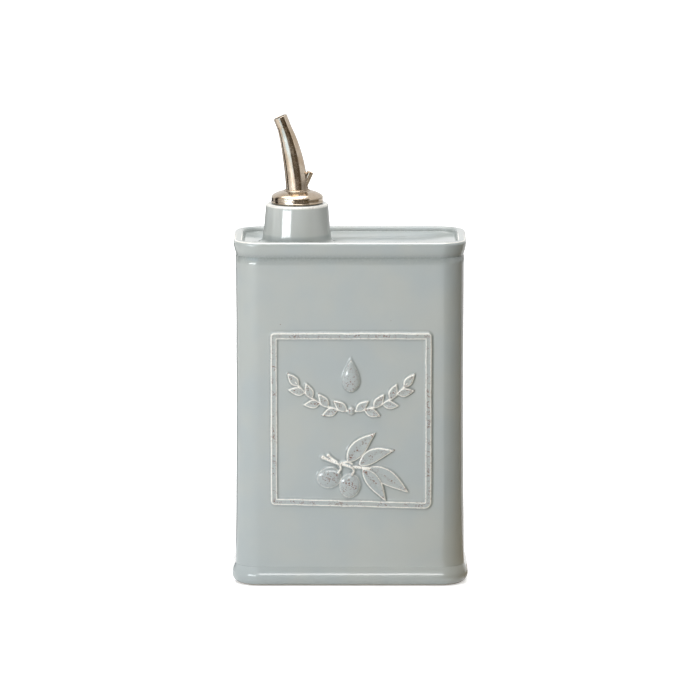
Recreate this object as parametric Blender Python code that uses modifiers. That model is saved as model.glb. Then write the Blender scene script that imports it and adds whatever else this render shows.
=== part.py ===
"""Olive oil can: a slip-cast glazed ceramic can with a push-in metal pourer.

Run it with: blender --background --python part.py

Metres, +Z up. The origin is on the table, under the middle of the can. The plaque faces -Y and the
neck stands off centre, towards -X. The spout leans towards -X and the air pipe comes out opposite.
"""

import math

import bmesh
import bpy
from mathutils import Vector

# What keeps two separate pieces apart where they seat, and how far cutters run past what they cut.
FIT_GAP = 0.0003
CUT_OVERRUN = 0.002
WELD_DISTANCE = 0.00001

# Can: the plain body between the base bulge and the rim. Its walls draw in at the waist and flare
# towards the foot.
BODY_WIDTH = 0.1113
BODY_DEPTH = 0.0567
BODY_CORNER = 0.012
BODY_WALL = 0.0045
BODY_WAIST = 0.0004
BODY_FLARE = 0.00045
SMALLEST_CORNER = 0.0008

# Can: base bulge, the sweep that leads it back to the body, and the foot ring under it.
# A sweep's two shares say how much of its height it runs nearly upright at its crest and its crease.
BASE_OVERHANG = 0.0021
BASE_EDGE_ROUND = 0.0046
BASE_BAND = 0.0002
BASE_SWEEP_HEIGHT = 0.0050
BASE_CREST_SHARE = 0.39
BASE_CREASE_SHARE = 0.18
FOOT_RING_WIDTH = 0.0050
FOOT_RECESS = 0.0015
FLOOR_THICKNESS = 0.0045

# Can: rolled rim round the tray on top. It tapers down from its crest to a crease in the wall.
RIM_TOP = 0.1697
RIM_BAND = 0.0001
RIM_OVERHANG = 0.0010
RIM_WALL = 0.0045
RIM_ROUND = 0.0016
RIM_SWEEP_HEIGHT = 0.0058
RIM_CREST_SHARE = 0.43
RIM_CREASE_SHARE = 0.06
RIM_GROOVE = 0.0003
TRAY_DEPTH = 0.0037
TRAY_FILLET = 0.0012
TRAY_THICKNESS = 0.0045

# Can: inside of the reservoir.
CAVITY_FLOOR_ROUND = 0.0060
CAVITY_TOP_ROUND = 0.0040

# Can: neck.
NECK_X = -0.0258
NECK_TOP = 0.1852
NECK_TOP_RADIUS = 0.0154
NECK_BASE_RADIUS = 0.0166
NECK_EDGE_ROUND = 0.0014
NECK_FILLET = 0.0025
NECK_FILLET_SINK = 0.0002
NECK_FILLET_END_DEGREES = 265
NECK_BORE_RADIUS = 0.0100
NECK_MOUTH_ROUND = 0.0010
NECK_ROOT = 0.0015

# Can: plaque on the front, a plate with a flat raised frame. Its lower right corner hangs lower.
PLAQUE_X = 0.00055
PLAQUE_Z = 0.0831
PLAQUE_WIDTH = 0.0793
PLAQUE_HEIGHT = 0.0852
PLAQUE_CORNER = 0.0034
PLAQUE_SKEW = 0.0021
PLAQUE_FIELD_RISE = 0.0006
PLAQUE_FRAME_RISE = 0.0014
PLAQUE_FRAME_WIDTH = 0.0027
PLAQUE_FRAME_ROUND = 0.0004
PLAQUE_ROOT = 0.0018

# Plaque relief: places are shares of the plaque's width and height from its lower left corner.
RELIEF_ROOT = 0.0004
RELIEF_SINK = 0.0002
LEAF_RISE = 0.0011
LEAF_RISE_STEP = 0.0001
LEAF_WIDTH = 0.0066
LEAF_TOP_SHARE = 0.88
LEAF_FULLNESS_SHARE = 0.85
BROAD_LEAF_WIDTH = 0.0078
BROAD_LEAF_RISE = 0.0012
OLIVE_RISE = 0.0019
OLIVE_LENGTH = 0.0125
OLIVE_WIDTH = 0.0108
TWIG_RADIUS = 0.0010
STALK_RADIUS = 0.0008
LEAF_SHARES = (
    # base u, base v, tip u, tip v, sideways bow as a share of the leaf's length
    (0.483, 0.266, 0.651, 0.423, 0.05),
    (0.548, 0.246, 0.767, 0.326, 0.08),
    (0.573, 0.224, 0.719, 0.035, 0.03),
)
BROAD_LEAF_SHARES = (0.600, 0.228, 0.859, 0.089, 0.04)
OLIVE_SHARES = (
    # centre u, centre v, turn in degrees
    (0.365, 0.168, 15),
    (0.492, 0.125, 80),
)
TWIG_SHARES = (
    (0.328, 0.284),
    (0.370, 0.266),
    (0.410, 0.252),
    (0.497, 0.233),
    (0.565, 0.229),
    (0.615, 0.226),
)
STALK_SHARES = (
    ((0.410, 0.252), (0.433, 0.236), (0.436, 0.216), (0.424, 0.199)),
    ((0.490, 0.235), (0.512, 0.222), (0.517, 0.206), (0.506, 0.191)),
)

# Plaque relief: a hanging twig with small alternate leaves, a bead at its lowest point and an oil drop.
GARLAND_CENTRE_SHARES = (0.500, 0.945)
GARLAND_RADIUS = 0.0335
GARLAND_HALF_ANGLE = 54
GARLAND_LEAVES = 7
GARLAND_LEAF_LENGTH = 0.0084
GARLAND_LEAF_WIDTH = 0.0038
GARLAND_LEAF_SPREAD = 33
GARLAND_RISE = 0.0010
GARLAND_TWIG_RADIUS = 0.0008
BEAD_RADIUS = 0.0019
BEAD_RISE = 0.0015
DROP_SHARES = (0.500, 0.760)
DROP_LENGTH = 0.0170
DROP_WIDTH = 0.0104
DROP_RISE = 0.0017

# Pourer: finned stopper in the neck, with a lip that rests on the neck's top.
STOPPER_LENGTH = 0.0170
STOPPER_CORE_RADIUS = 0.0081
STOPPER_LIP_THICKNESS = 0.0008
FIN_COUNT = 4
FIN_TIP_THICKNESS = 0.0010
FIN_ROOT_THICKNESS = 0.0024

# Pourer: straight shank through the stopper, and the washer that its flared end holds.
SHANK_RADIUS = 0.0043
SHANK_WALL = 0.0006
SHANK_FLARE = 0.0010
SHANK_FLARE_HEIGHT = 0.0006
SHANK_ENGAGEMENT = 0.0020
WASHER_RADIUS = 0.0066
WASHER_THICKNESS = 0.0010

# Pourer: domed collar. Its skirt reaches down over the stopper's lip to the neck's top.
COLLAR_RADIUS = 0.0128
COLLAR_SHEET = 0.0009
COLLAR_SKIRT = 0.0027
COLLAR_DOME_RISE = 0.0033
COLLAR_DOME_SHARE = 0.6
COLLAR_ROOT_RISE = 0.0004
COLLAR_ROOT_FLARE = 0.0006

# Pourer: spout, bent in one even arc from its seat to its tip while it tapers.
SPOUT_ROOT_RADIUS = 0.0053
SPOUT_TIP_RADIUS = 0.00345
SPOUT_WALL = 0.0007
SPOUT_BEND_RADIUS = 0.105
SPOUT_BEND_DEGREES = 23
SPOUT_PLAIN_ROOT = 0.0074
SPOUT_PLAIN_TIP = 0.0060

# Pourer: air pipe, down inside the shank and out through the side of the spout.
PIPE_RADIUS = 0.0016
PIPE_WALL = 0.0005
PIPE_OFFSET = 0.0016
PIPE_REACH = 0.0430
PIPE_BEND_HEIGHT = 0.0006
PIPE_BEND_RADIUS = 0.0100
PIPE_BEND_DEGREES = 24
PIPE_SLANT_LENGTH = 0.0100

# How finely round things are drawn.
OUTLINE_STEPS = 6
ROUND_STEPS = 4
SWEEP_STEPS = 5
DOME_STEPS = 5
TURN_STEPS = 32
TUBE_STEPS = 18
SPOUT_STEPS = 12
WAIST_STEPS = 6
OLIVE_SEGMENTS = 16
OLIVE_RINGS = 10
LEAF_STEPS = 7
SMOOTH_DEGREES = 35

# Finishes: colour, roughness, metallic.
GLAZE = ((0.56, 0.60, 0.59), 0.12, 0.0)
STEEL = ((0.66, 0.61, 0.54), 0.15, 1.0)
DULL_STEEL = ((0.55, 0.53, 0.50), 0.35, 1.0)
STOPPER_PLASTIC = ((0.72, 0.70, 0.64), 0.55, 0.0)

# Heights and one radius that follow from the sizes above.
TRAY_FLOOR = RIM_TOP - TRAY_DEPTH
CAVITY_FLOOR = FOOT_RECESS + FLOOR_THICKNESS
CAVITY_TOP = TRAY_FLOOR - TRAY_THICKNESS
STOPPER_TOP = NECK_TOP + FIT_GAP + STOPPER_LIP_THICKNESS
STOPPER_LIP_RADIUS = COLLAR_RADIUS - COLLAR_SHEET - FIT_GAP
STOPPER_BOTTOM = NECK_TOP - STOPPER_LENGTH
WASHER_TOP = STOPPER_BOTTOM - FIT_GAP
SHANK_BOTTOM = WASHER_TOP - WASHER_THICKNESS - FIT_GAP - SHANK_FLARE_HEIGHT
POURER_SEAT = STOPPER_TOP + FIT_GAP
SHANK_TOP = POURER_SEAT + SHANK_ENGAGEMENT


def clear_scene():
    for old in list(bpy.data.objects):
        bpy.data.objects.remove(old, do_unlink=True)


def new_collection(name):
    collection = bpy.data.collections.new(name)
    bpy.context.scene.collection.children.link(collection)
    return collection


def new_material(name, finish):
    colour, roughness, metallic = finish
    material = bpy.data.materials.new(name)
    material.use_nodes = True
    shader = material.node_tree.nodes["Principled BSDF"]
    shader.inputs["Base Color"].default_value = (*colour, 1.0)
    shader.inputs["Roughness"].default_value = roughness
    shader.inputs["Metallic"].default_value = metallic
    return material


def new_object(name, data, collection, parent=None):
    made = bpy.data.objects.new(name, data)
    collection.objects.link(made)
    made.parent = parent
    return made


def as_cutter(made):
    """Marks an object that only joins or cuts another."""
    made.hide_render = True
    made.display_type = "WIRE"
    return made


def finish_piece(made, material):
    made.data.materials.clear()
    made.data.materials.append(material)
    made.data.shade_smooth()
    made.data.set_sharp_from_angle(angle=math.radians(SMOOTH_DEGREES))


def add_boolean(made, other, operation):
    modifier = made.modifiers.new(f"{operation.lower()} {other.name}", "BOOLEAN")
    modifier.operation = operation
    modifier.object = other
    modifier.solver = "EXACT"


def arc(centre, radius, start_degrees, end_degrees, steps):
    """Points of an arc in a profile plane, both ends included."""
    points = []
    for step in range(steps + 1):
        angle = math.radians(start_degrees + (end_degrees - start_degrees) * step / steps)
        points.append((centre[0] + radius * math.cos(angle), centre[1] + radius * math.sin(angle)))
    return points


def sweep(start, end, start_share, end_share, steps):
    """Points of an S between two points of a profile, upright at both ends, which are included.

    The shares say how much of its height the S holds to the upright at either end.
    """
    height = end[1] - start[1]
    first_hold = (start[0], start[1] + height * start_share)
    last_hold = (end[0], end[1] - height * end_share)
    points = []
    for step in range(steps + 1):
        along = step / steps
        back = 1 - along
        weights = (back**3, 3 * along * back**2, 3 * along**2 * back, along**3)
        held = tuple(zip(start, first_hold, last_hold, end))
        points.append(tuple(sum(w * at for w, at in zip(weights, axis)) for axis in held))
    return points


def rounded_outline(half_x, half_y, corner, steps):
    """Points of a rounded rectangle in the XY plane, anticlockwise."""
    points = []
    for quarter, (side_x, side_y) in enumerate(((1, 1), (-1, 1), (-1, -1), (1, -1))):
        centre = (side_x * (half_x - corner), side_y * (half_y - corner))
        points += arc(centre, corner, quarter * 90, quarter * 90 + 90, steps)
    return points


def loft(name, sections, collection, parent=None):
    """A closed solid through sections with as many points each, flat at both ends."""
    form = bmesh.new()
    rings = [[form.verts.new(point) for point in section] for section in sections]
    form.faces.new(reversed(rings[0]))
    form.faces.new(rings[-1])
    for lower, upper in zip(rings, rings[1:]):
        for index, corner in enumerate(lower):
            following = (index + 1) % len(lower)
            form.faces.new((corner, lower[following], upper[following], upper[index]))
    mesh = bpy.data.meshes.new(name)
    form.to_mesh(mesh)
    form.free()
    return new_object(name, mesh, collection, parent)


def turned(name, profile, closed, collection, parent=None):
    """A turned piece: the profile runs down its outer side and is screwed once round Z."""
    mesh = bpy.data.meshes.new(name)
    last = len(profile) - 1
    edges = [(index, index + 1) for index in range(last)]
    if closed:
        edges.append((last, 0))
    mesh.from_pydata([(radius, 0, height) for radius, height in profile], edges, [])
    made = new_object(name, mesh, collection, parent)
    screw = made.modifiers.new("turn", "SCREW")
    screw.steps = TURN_STEPS
    screw.render_steps = TURN_STEPS
    screw.use_merge_vertices = True
    screw.merge_threshold = WELD_DISTANCE
    screw.use_smooth_shade = True
    return made


def tube_mesh(name, points, radii, sides, capped):
    """The mesh of a round tube along points, with its own radius at each."""
    curve = bpy.data.curves.new(name, "CURVE")
    curve.dimensions = "3D"
    curve.resolution_u = 1
    curve.render_resolution_u = 0
    curve.twist_mode = "MINIMUM"
    curve.bevel_depth = 1
    curve.bevel_resolution = sides // 2 - 2
    curve.use_fill_caps = capped
    spline = curve.splines.new("POLY")
    spline.points.add(len(points) - 1)
    for spot, place, radius in zip(spline.points, points, radii):
        spot.co = (*place, 1)
        spot.radius = radius
    guide = bpy.data.objects.new(name, curve)
    bpy.context.scene.collection.objects.link(guide)
    bpy.context.view_layer.update()
    evaluated = guide.evaluated_get(bpy.context.evaluated_depsgraph_get())
    mesh = bpy.data.meshes.new_from_object(evaluated)
    bpy.data.objects.remove(guide, do_unlink=True)
    bpy.data.curves.remove(curve)
    form = bmesh.new()
    form.from_mesh(mesh)
    bmesh.ops.remove_doubles(form, verts=form.verts, dist=WELD_DISTANCE)
    bmesh.ops.recalc_face_normals(form, faces=form.faces)
    form.to_mesh(mesh)
    form.free()
    return mesh


def wall_profile():
    """(offset, height) pairs round the can, from the foot recess out, up and over into the tray.

    An offset is how far the outline there stands outside the plain body's.
    """
    foot_out = BASE_OVERHANG - BASE_EDGE_ROUND
    foot_in = foot_out - FOOT_RING_WIDTH
    base_crest = (BASE_OVERHANG, BASE_EDGE_ROUND + BASE_BAND)
    sweep_top = base_crest[1] + BASE_SWEEP_HEIGHT
    rim_crest = (RIM_OVERHANG, RIM_TOP - RIM_ROUND - RIM_BAND)
    groove = rim_crest[1] - RIM_SWEEP_HEIGHT
    rim_in = RIM_OVERHANG - RIM_WALL
    profile = [(foot_in - FOOT_RECESS, FOOT_RECESS), (foot_in, 0)]
    profile += arc((foot_out, BASE_EDGE_ROUND), BASE_EDGE_ROUND, -90, 0, ROUND_STEPS + 1)
    wall_foot = (BODY_FLARE, sweep_top)
    profile += sweep(base_crest, wall_foot, BASE_CREST_SHARE, BASE_CREASE_SHARE, SWEEP_STEPS)
    for step in range(1, WAIST_STEPS):
        share = step / WAIST_STEPS
        height = sweep_top + (groove - RIM_GROOVE - sweep_top) * share
        profile.append((BODY_FLARE * (1 - share) - BODY_WAIST * math.sin(math.pi * share), height))
    profile.append((0, groove - RIM_GROOVE))
    profile += sweep((-RIM_GROOVE, groove), rim_crest, RIM_CREASE_SHARE, RIM_CREST_SHARE, SWEEP_STEPS)
    profile += arc((RIM_OVERHANG - RIM_ROUND, RIM_TOP - RIM_ROUND), RIM_ROUND, 0, 90, ROUND_STEPS)
    profile += arc((rim_in + RIM_ROUND, RIM_TOP - RIM_ROUND), RIM_ROUND, 90, 180, ROUND_STEPS)
    profile += arc((rim_in - TRAY_FILLET, TRAY_FLOOR + TRAY_FILLET), TRAY_FILLET, 0, -90, ROUND_STEPS)
    return profile


def cavity_profile():
    """(offset, height) pairs of the reservoir's inside, bottom to top."""
    floor_round = (-BODY_WALL - CAVITY_FLOOR_ROUND, CAVITY_FLOOR + CAVITY_FLOOR_ROUND)
    top_round = (-BODY_WALL - CAVITY_TOP_ROUND, CAVITY_TOP - CAVITY_TOP_ROUND)
    profile = arc(floor_round, CAVITY_FLOOR_ROUND, -90, 0, ROUND_STEPS)
    profile += arc(top_round, CAVITY_TOP_ROUND, 0, 90, ROUND_STEPS)
    return profile


def body_sections(profile):
    """The can's outline at each (offset, height) pair."""
    sections = []
    for offset, height in profile:
        corner = max(BODY_CORNER + offset, SMALLEST_CORNER)
        outline = rounded_outline(BODY_WIDTH / 2 + offset, BODY_DEPTH / 2 + offset, corner, OUTLINE_STEPS)
        sections.append([(x, y, height) for x, y in outline])
    return sections


def make_neck(cutters):
    """The neck as a solid cone that stands in the tray, without its bore."""
    edge_centre = (NECK_TOP_RADIUS - NECK_EDGE_ROUND, NECK_TOP - NECK_EDGE_ROUND)
    fillet_centre = (NECK_BASE_RADIUS + NECK_FILLET, TRAY_FLOOR + NECK_FILLET - NECK_FILLET_SINK)
    profile = [(0, NECK_TOP)]
    profile += arc(edge_centre, NECK_EDGE_ROUND, 90, 0, ROUND_STEPS)
    profile += arc(fillet_centre, NECK_FILLET, 180, NECK_FILLET_END_DEGREES, ROUND_STEPS)
    profile += [(NECK_BASE_RADIUS, TRAY_FLOOR - NECK_ROOT), (0, TRAY_FLOOR - NECK_ROOT)]
    neck = turned("neck_form", profile, False, cutters)
    neck.location.x = NECK_X
    return as_cutter(neck)


def make_neck_bore(cutters):
    mouth = NECK_BORE_RADIUS + NECK_MOUTH_ROUND
    bottom = CAVITY_TOP - CUT_OVERRUN
    profile = [(0, NECK_TOP + CUT_OVERRUN), (mouth, NECK_TOP + CUT_OVERRUN)]
    profile += arc((mouth, NECK_TOP - NECK_MOUTH_ROUND), NECK_MOUTH_ROUND, 90, 180, ROUND_STEPS)
    profile += [(NECK_BORE_RADIUS, bottom), (0, bottom)]
    bore = turned("neck_bore", profile, False, cutters)
    bore.location.x = NECK_X
    return as_cutter(bore)


def skewed(x, y):
    """Where a point of the plaque lies once its lower right corner has been let down."""
    across = x / PLAQUE_WIDTH + 1 / 2
    down = 1 / 2 - y / PLAQUE_HEIGHT
    return x, y - PLAQUE_SKEW * across * down


def plaque_spot(across_share, up_share):
    """A place on the plaque from its shares of the width and the height."""
    return skewed((across_share - 1 / 2) * PLAQUE_WIDTH, (up_share - 1 / 2) * PLAQUE_HEIGHT)


def make_plaque(cutters, plane):
    """The plate and its frame in one loft: up the side, over the flat frame and down to the field."""
    frame_in = PLAQUE_FRAME_WIDTH
    edge = PLAQUE_FRAME_ROUND
    profile = [(0, -PLAQUE_ROOT), (0, PLAQUE_FRAME_RISE - edge)]
    profile += [(-edge, PLAQUE_FRAME_RISE), (edge - frame_in, PLAQUE_FRAME_RISE)]
    profile += [(-frame_in, PLAQUE_FRAME_RISE - edge), (-frame_in, PLAQUE_FIELD_RISE)]
    sections = []
    for offset, height in profile:
        corner = max(PLAQUE_CORNER + offset, SMALLEST_CORNER)
        half_x, half_y = PLAQUE_WIDTH / 2 + offset, PLAQUE_HEIGHT / 2 + offset
        outline = rounded_outline(half_x, half_y, corner, ROUND_STEPS)
        sections.append([(*skewed(x, y), height) for x, y in outline])
    return as_cutter(loft("plaque_plate", sections, cutters, plane))


def leaf_outline(length, width, bow):
    """Points round a leaf that lies along +X from the origin, pointed at both ends, anticlockwise."""
    lower, upper = [], []
    for step in range(LEAF_STEPS + 1):
        along = step / LEAF_STEPS
        half = width / 2 * math.sin(math.pi * along**LEAF_FULLNESS_SHARE)
        middle = bow * length * math.sin(math.pi * along)
        lower.append((length * along, middle - half))
        upper.append((length * along, middle + half))
    return lower + upper[-2:0:-1]


def make_leaf(name, base, tip, width, bow, rise, cutters, plane):
    """A leaf as a low raised form: a full outline below, drawn in towards its flat top."""
    direction = Vector(tip) - Vector(base)
    outline = leaf_outline(direction.length, width, bow)
    middle = Vector((direction.length / 2, 0))
    levels = ((1, -RELIEF_ROOT), (1, rise / 2), (LEAF_TOP_SHARE, rise))
    sections = []
    for scale, height in levels:
        drawn_in = [middle + (Vector(point) - middle) * scale for point in outline]
        sections.append([(point.x, point.y, height) for point in drawn_in])
    leaf = loft(name, sections, cutters, plane)
    leaf.location = (*base, PLAQUE_FIELD_RISE)
    leaf.rotation_euler.z = math.atan2(direction.y, direction.x)
    return as_cutter(leaf)


def ball(name, size, spot, turn_degrees, cutters, plane):
    """A ball drawn out to a size, sunk just past its middle into the plaque's field."""
    form = bmesh.new()
    bmesh.ops.create_uvsphere(form, u_segments=OLIVE_SEGMENTS, v_segments=OLIVE_RINGS, radius=1)
    bmesh.ops.scale(form, vec=size, verts=form.verts)
    mesh = bpy.data.meshes.new(name)
    form.to_mesh(mesh)
    form.free()
    made = new_object(name, mesh, cutters, plane)
    made.location = (*spot, PLAQUE_FIELD_RISE - RELIEF_SINK)
    made.rotation_euler.z = math.radians(turn_degrees)
    return as_cutter(made)


def make_twig(name, spots, radius, cutters, plane):
    points = [(*spot, PLAQUE_FIELD_RISE - RELIEF_SINK) for spot in spots]
    mesh = tube_mesh(name, points, [radius] * len(points), TUBE_STEPS // 2, True)
    return as_cutter(new_object(name, mesh, cutters, plane))


def make_drop(cutters, plane):
    """A low oil drop: a ball that narrows to a point at its top."""
    size = Vector((DROP_WIDTH / 2, DROP_LENGTH / 2, DROP_RISE + RELIEF_SINK))
    drop = ball("oil_drop", size, plaque_spot(*DROP_SHARES), 0, cutters, plane)
    for corner in drop.data.vertices:
        up_share = (corner.co.y / size.y + 1) / 2
        corner.co.x *= 1 - up_share**2
        corner.co.z *= 1 - up_share**2
    return drop


def garland_place(degrees):
    """A place on the hanging twig, by its angle from the lowest point."""
    swing = math.radians(degrees)
    centre = Vector(plaque_spot(*GARLAND_CENTRE_SHARES))
    return centre + GARLAND_RADIUS * Vector((math.sin(swing), -math.cos(swing)))


def make_garland(cutters, plane):
    """The hanging twig, its leaves in turn above and below it on both sides, and the bead."""
    pieces = []
    steps = 2 * GARLAND_LEAVES
    spots = [garland_place(GARLAND_HALF_ANGLE * (2 * step / steps - 1)) for step in range(steps + 1)]
    pieces.append(make_twig("garland_twig", spots, GARLAND_TWIG_RADIUS, cutters, plane))
    for side in (-1, 1):
        for index in range(GARLAND_LEAVES):
            last = index == GARLAND_LEAVES - 1
            spread = 0 if last else GARLAND_LEAF_SPREAD * (-1) ** index
            degrees = GARLAND_HALF_ANGLE * (index + 1 / 2) / GARLAND_LEAVES
            heading = math.radians(degrees + spread)
            start = garland_place(side * degrees)
            tip = start + GARLAND_LEAF_LENGTH * Vector((side * math.cos(heading), math.sin(heading)))
            name = f"garland_leaf_{len(pieces)}"
            pieces.append(make_leaf(name, start, tip, GARLAND_LEAF_WIDTH, 0, GARLAND_RISE, cutters, plane))
    bead = Vector((BEAD_RADIUS, BEAD_RADIUS, BEAD_RISE + RELIEF_SINK))
    pieces.append(ball("bead", bead, garland_place(0), 0, cutters, plane))
    return pieces


def make_relief(cutters, plane):
    """Everything that stands up from the plaque's field."""
    pieces = make_garland(cutters, plane)
    pieces.append(make_drop(cutters, plane))
    *ends, bow = BROAD_LEAF_SHARES
    base, tip = plaque_spot(*ends[:2]), plaque_spot(*ends[2:])
    pieces.append(make_leaf("broad_leaf", base, tip, BROAD_LEAF_WIDTH, bow, BROAD_LEAF_RISE, cutters, plane))
    for index, (*ends, bow) in enumerate(LEAF_SHARES):
        base, tip = plaque_spot(*ends[:2]), plaque_spot(*ends[2:])
        rise = LEAF_RISE - LEAF_RISE_STEP * index
        name = f"olive_leaf_{index}"
        pieces.append(make_leaf(name, base, tip, LEAF_WIDTH, bow, rise, cutters, plane))
    olive = Vector((OLIVE_LENGTH / 2, OLIVE_WIDTH / 2, OLIVE_RISE))
    for index, (across, up, turn) in enumerate(OLIVE_SHARES):
        pieces.append(ball(f"olive_{index}", olive, plaque_spot(across, up), turn, cutters, plane))
    spots = [plaque_spot(*share) for share in TWIG_SHARES]
    pieces.append(make_twig("twig", spots, TWIG_RADIUS, cutters, plane))
    for index, shares in enumerate(STALK_SHARES):
        spots = [plaque_spot(*share) for share in shares]
        pieces.append(make_twig(f"stalk_{index}", spots, STALK_RADIUS, cutters, plane))
    return pieces


def make_can(parts, cutters):
    """The fired can: outer form, reservoir, neck and plaque are one piece of ceramic."""
    can = loft("can_body", body_sections(wall_profile()), parts)
    cavity = as_cutter(loft("reservoir", body_sections(cavity_profile()), cutters))
    plane = new_object("plaque_plane", None, cutters)
    plane.location = (PLAQUE_X, BODY_WAIST - BODY_DEPTH / 2, PLAQUE_Z)
    plane.rotation_euler.x = math.radians(90)
    add_boolean(can, make_plaque(cutters, plane), "UNION")
    for piece in make_relief(cutters, plane):
        add_boolean(can, piece, "UNION")
    add_boolean(can, cavity, "DIFFERENCE")
    add_boolean(can, make_neck(cutters), "UNION")
    add_boolean(can, make_neck_bore(cutters), "DIFFERENCE")
    finish_piece(can, new_material("glaze", GLAZE))
    return can


def stopper_profile():
    """Down the outside over the lip and the fins, then up the bore."""
    bore = SHANK_RADIUS + FIT_GAP
    fin_radius = NECK_BORE_RADIUS - FIT_GAP
    lip_bottom = NECK_TOP + FIT_GAP
    profile = [(STOPPER_LIP_RADIUS, STOPPER_TOP), (STOPPER_LIP_RADIUS, lip_bottom)]
    profile.append((STOPPER_CORE_RADIUS, lip_bottom))
    first_root = NECK_TOP - NECK_MOUTH_ROUND - FIT_GAP
    pitch = (first_root - STOPPER_BOTTOM) / FIN_COUNT
    for fin in range(FIN_COUNT):
        root = first_root - fin * pitch
        profile.append((STOPPER_CORE_RADIUS, root))
        profile.append((fin_radius, root - (FIN_ROOT_THICKNESS - FIN_TIP_THICKNESS) / 2))
        profile.append((fin_radius, root - (FIN_ROOT_THICKNESS + FIN_TIP_THICKNESS) / 2))
        profile.append((STOPPER_CORE_RADIUS, root - FIN_ROOT_THICKNESS))
    profile += [(STOPPER_CORE_RADIUS, STOPPER_BOTTOM), (bore, STOPPER_BOTTOM), (bore, STOPPER_TOP)]
    return profile


def collar_profile():
    """Down the outside of the stamped dome to its skirt, then up its inside."""
    hole = SPOUT_ROOT_RADIUS + FIT_GAP
    bottom = NECK_TOP + FIT_GAP
    skirt_top = bottom + COLLAR_SKIRT
    dome_top = skirt_top + COLLAR_DOME_RISE
    root_top = dome_top + COLLAR_ROOT_RISE
    root = hole + COLLAR_SHEET
    inner = COLLAR_RADIUS - COLLAR_SHEET
    dome_outside = (root + COLLAR_ROOT_FLARE, dome_top)
    dome_inside = (root + COLLAR_ROOT_FLARE, dome_top - COLLAR_SHEET)
    profile = [(root, root_top)]
    profile += sweep(dome_outside, (COLLAR_RADIUS, skirt_top), 0, COLLAR_DOME_SHARE, DOME_STEPS)
    profile += [(COLLAR_RADIUS, bottom), (inner, bottom)]
    profile += reversed(sweep(dome_inside, (inner, skirt_top), 0, COLLAR_DOME_SHARE, DOME_STEPS))
    profile += [(hole, dome_top - COLLAR_SHEET), (hole, root_top)]
    return profile


def shank_profile():
    """Down the outside to the flared end, then up the bore."""
    bore = SHANK_RADIUS - SHANK_WALL
    flare = SHANK_RADIUS + SHANK_FLARE
    flare_top = SHANK_BOTTOM + SHANK_FLARE_HEIGHT
    return [
        (SHANK_RADIUS, SHANK_TOP),
        (SHANK_RADIUS, flare_top),
        (flare, flare_top),
        (flare, SHANK_BOTTOM),
        (bore, SHANK_BOTTOM),
        (bore, SHANK_TOP),
    ]


def washer_profile():
    hole = SHANK_RADIUS + FIT_GAP
    bottom = WASHER_TOP - WASHER_THICKNESS
    return [(WASHER_RADIUS, WASHER_TOP), (WASHER_RADIUS, bottom), (hole, bottom), (hole, WASHER_TOP)]


def spout_route():
    """Points up the spout's middle and its radius at each: an even bend that tapers between plain ends."""
    bend = math.radians(SPOUT_BEND_DEGREES)
    length = SPOUT_BEND_RADIUS * bend
    taper = length - SPOUT_PLAIN_ROOT - SPOUT_PLAIN_TIP
    points, radii = [], []
    for step in range(SPOUT_STEPS + 1):
        angle = bend * step / SPOUT_STEPS
        lean = -SPOUT_BEND_RADIUS * (1 - math.cos(angle))
        points.append((lean, 0, POURER_SEAT + SPOUT_BEND_RADIUS * math.sin(angle)))
        share = (SPOUT_BEND_RADIUS * angle - SPOUT_PLAIN_ROOT) / taper
        radii.append(SPOUT_ROOT_RADIUS + (SPOUT_TIP_RADIUS - SPOUT_ROOT_RADIUS) * min(max(share, 0), 1)**2)
    return points, radii


def pipe_route(extra=0):
    """Points up the air pipe's middle: straight up inside the shank, a bend, and the slanted end."""
    bend = math.radians(PIPE_BEND_DEGREES)
    bend_start = POURER_SEAT + PIPE_BEND_HEIGHT
    points = [(PIPE_OFFSET, 0, NECK_TOP - PIPE_REACH)]
    for step in range(ROUND_STEPS + 1):
        angle = bend * step / ROUND_STEPS
        out = PIPE_OFFSET + PIPE_BEND_RADIUS * (1 - math.cos(angle))
        points.append((out, 0, bend_start + PIPE_BEND_RADIUS * math.sin(angle)))
    last = Vector(points[-1])
    slant = Vector((math.sin(bend), 0, math.cos(bend)))
    points.append(tuple(last + (PIPE_SLANT_LENGTH + extra) * slant))
    return points


def make_tube(name, points, radii, wall, parts, parent):
    """An open-ended tube: its outer surface, thickened inwards."""
    made = new_object(name, tube_mesh(name, points, radii, TUBE_STEPS, False), parts, parent)
    shell = made.modifiers.new("wall", "SOLIDIFY")
    shell.thickness = wall
    shell.offset = -1
    shell.use_even_offset = True
    return made


def make_pourer(parts, cutters):
    """The stopper and, on the axis that they turn about, the metal pieces that it carries."""
    steel = new_material("pourer_steel", STEEL)
    dull_steel = new_material("inner_steel", DULL_STEEL)
    stopper = turned("stopper", stopper_profile(), True, parts)
    stopper.location.x = NECK_X
    finish_piece(stopper, new_material("stopper_plastic", STOPPER_PLASTIC))
    axis = new_object("spout_turn_axis", None, parts, stopper)
    collar = turned("collar", collar_profile(), True, parts, axis)
    finish_piece(collar, steel)
    shank = turned("shank_tube", shank_profile(), True, parts, axis)
    finish_piece(shank, dull_steel)
    washer = turned("retaining_washer", washer_profile(), True, parts, axis)
    finish_piece(washer, dull_steel)
    spout_points, spout_radii = spout_route()
    spout = make_tube("spout_tube", spout_points, spout_radii, SPOUT_WALL, parts, axis)
    finish_piece(spout, steel)
    pipe_points = pipe_route()
    pipe = make_tube("breather_tube", pipe_points, [PIPE_RADIUS] * len(pipe_points), PIPE_WALL, parts, axis)
    finish_piece(pipe, steel)
    hole_points = pipe_route(FIT_GAP)
    hole_radii = [PIPE_RADIUS + FIT_GAP] * len(hole_points)
    hole_mesh = tube_mesh("pipe_hole", hole_points, hole_radii, TUBE_STEPS, True)
    hole = as_cutter(new_object("pipe_hole", hole_mesh, cutters, axis))
    add_boolean(spout, hole, "DIFFERENCE")


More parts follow.
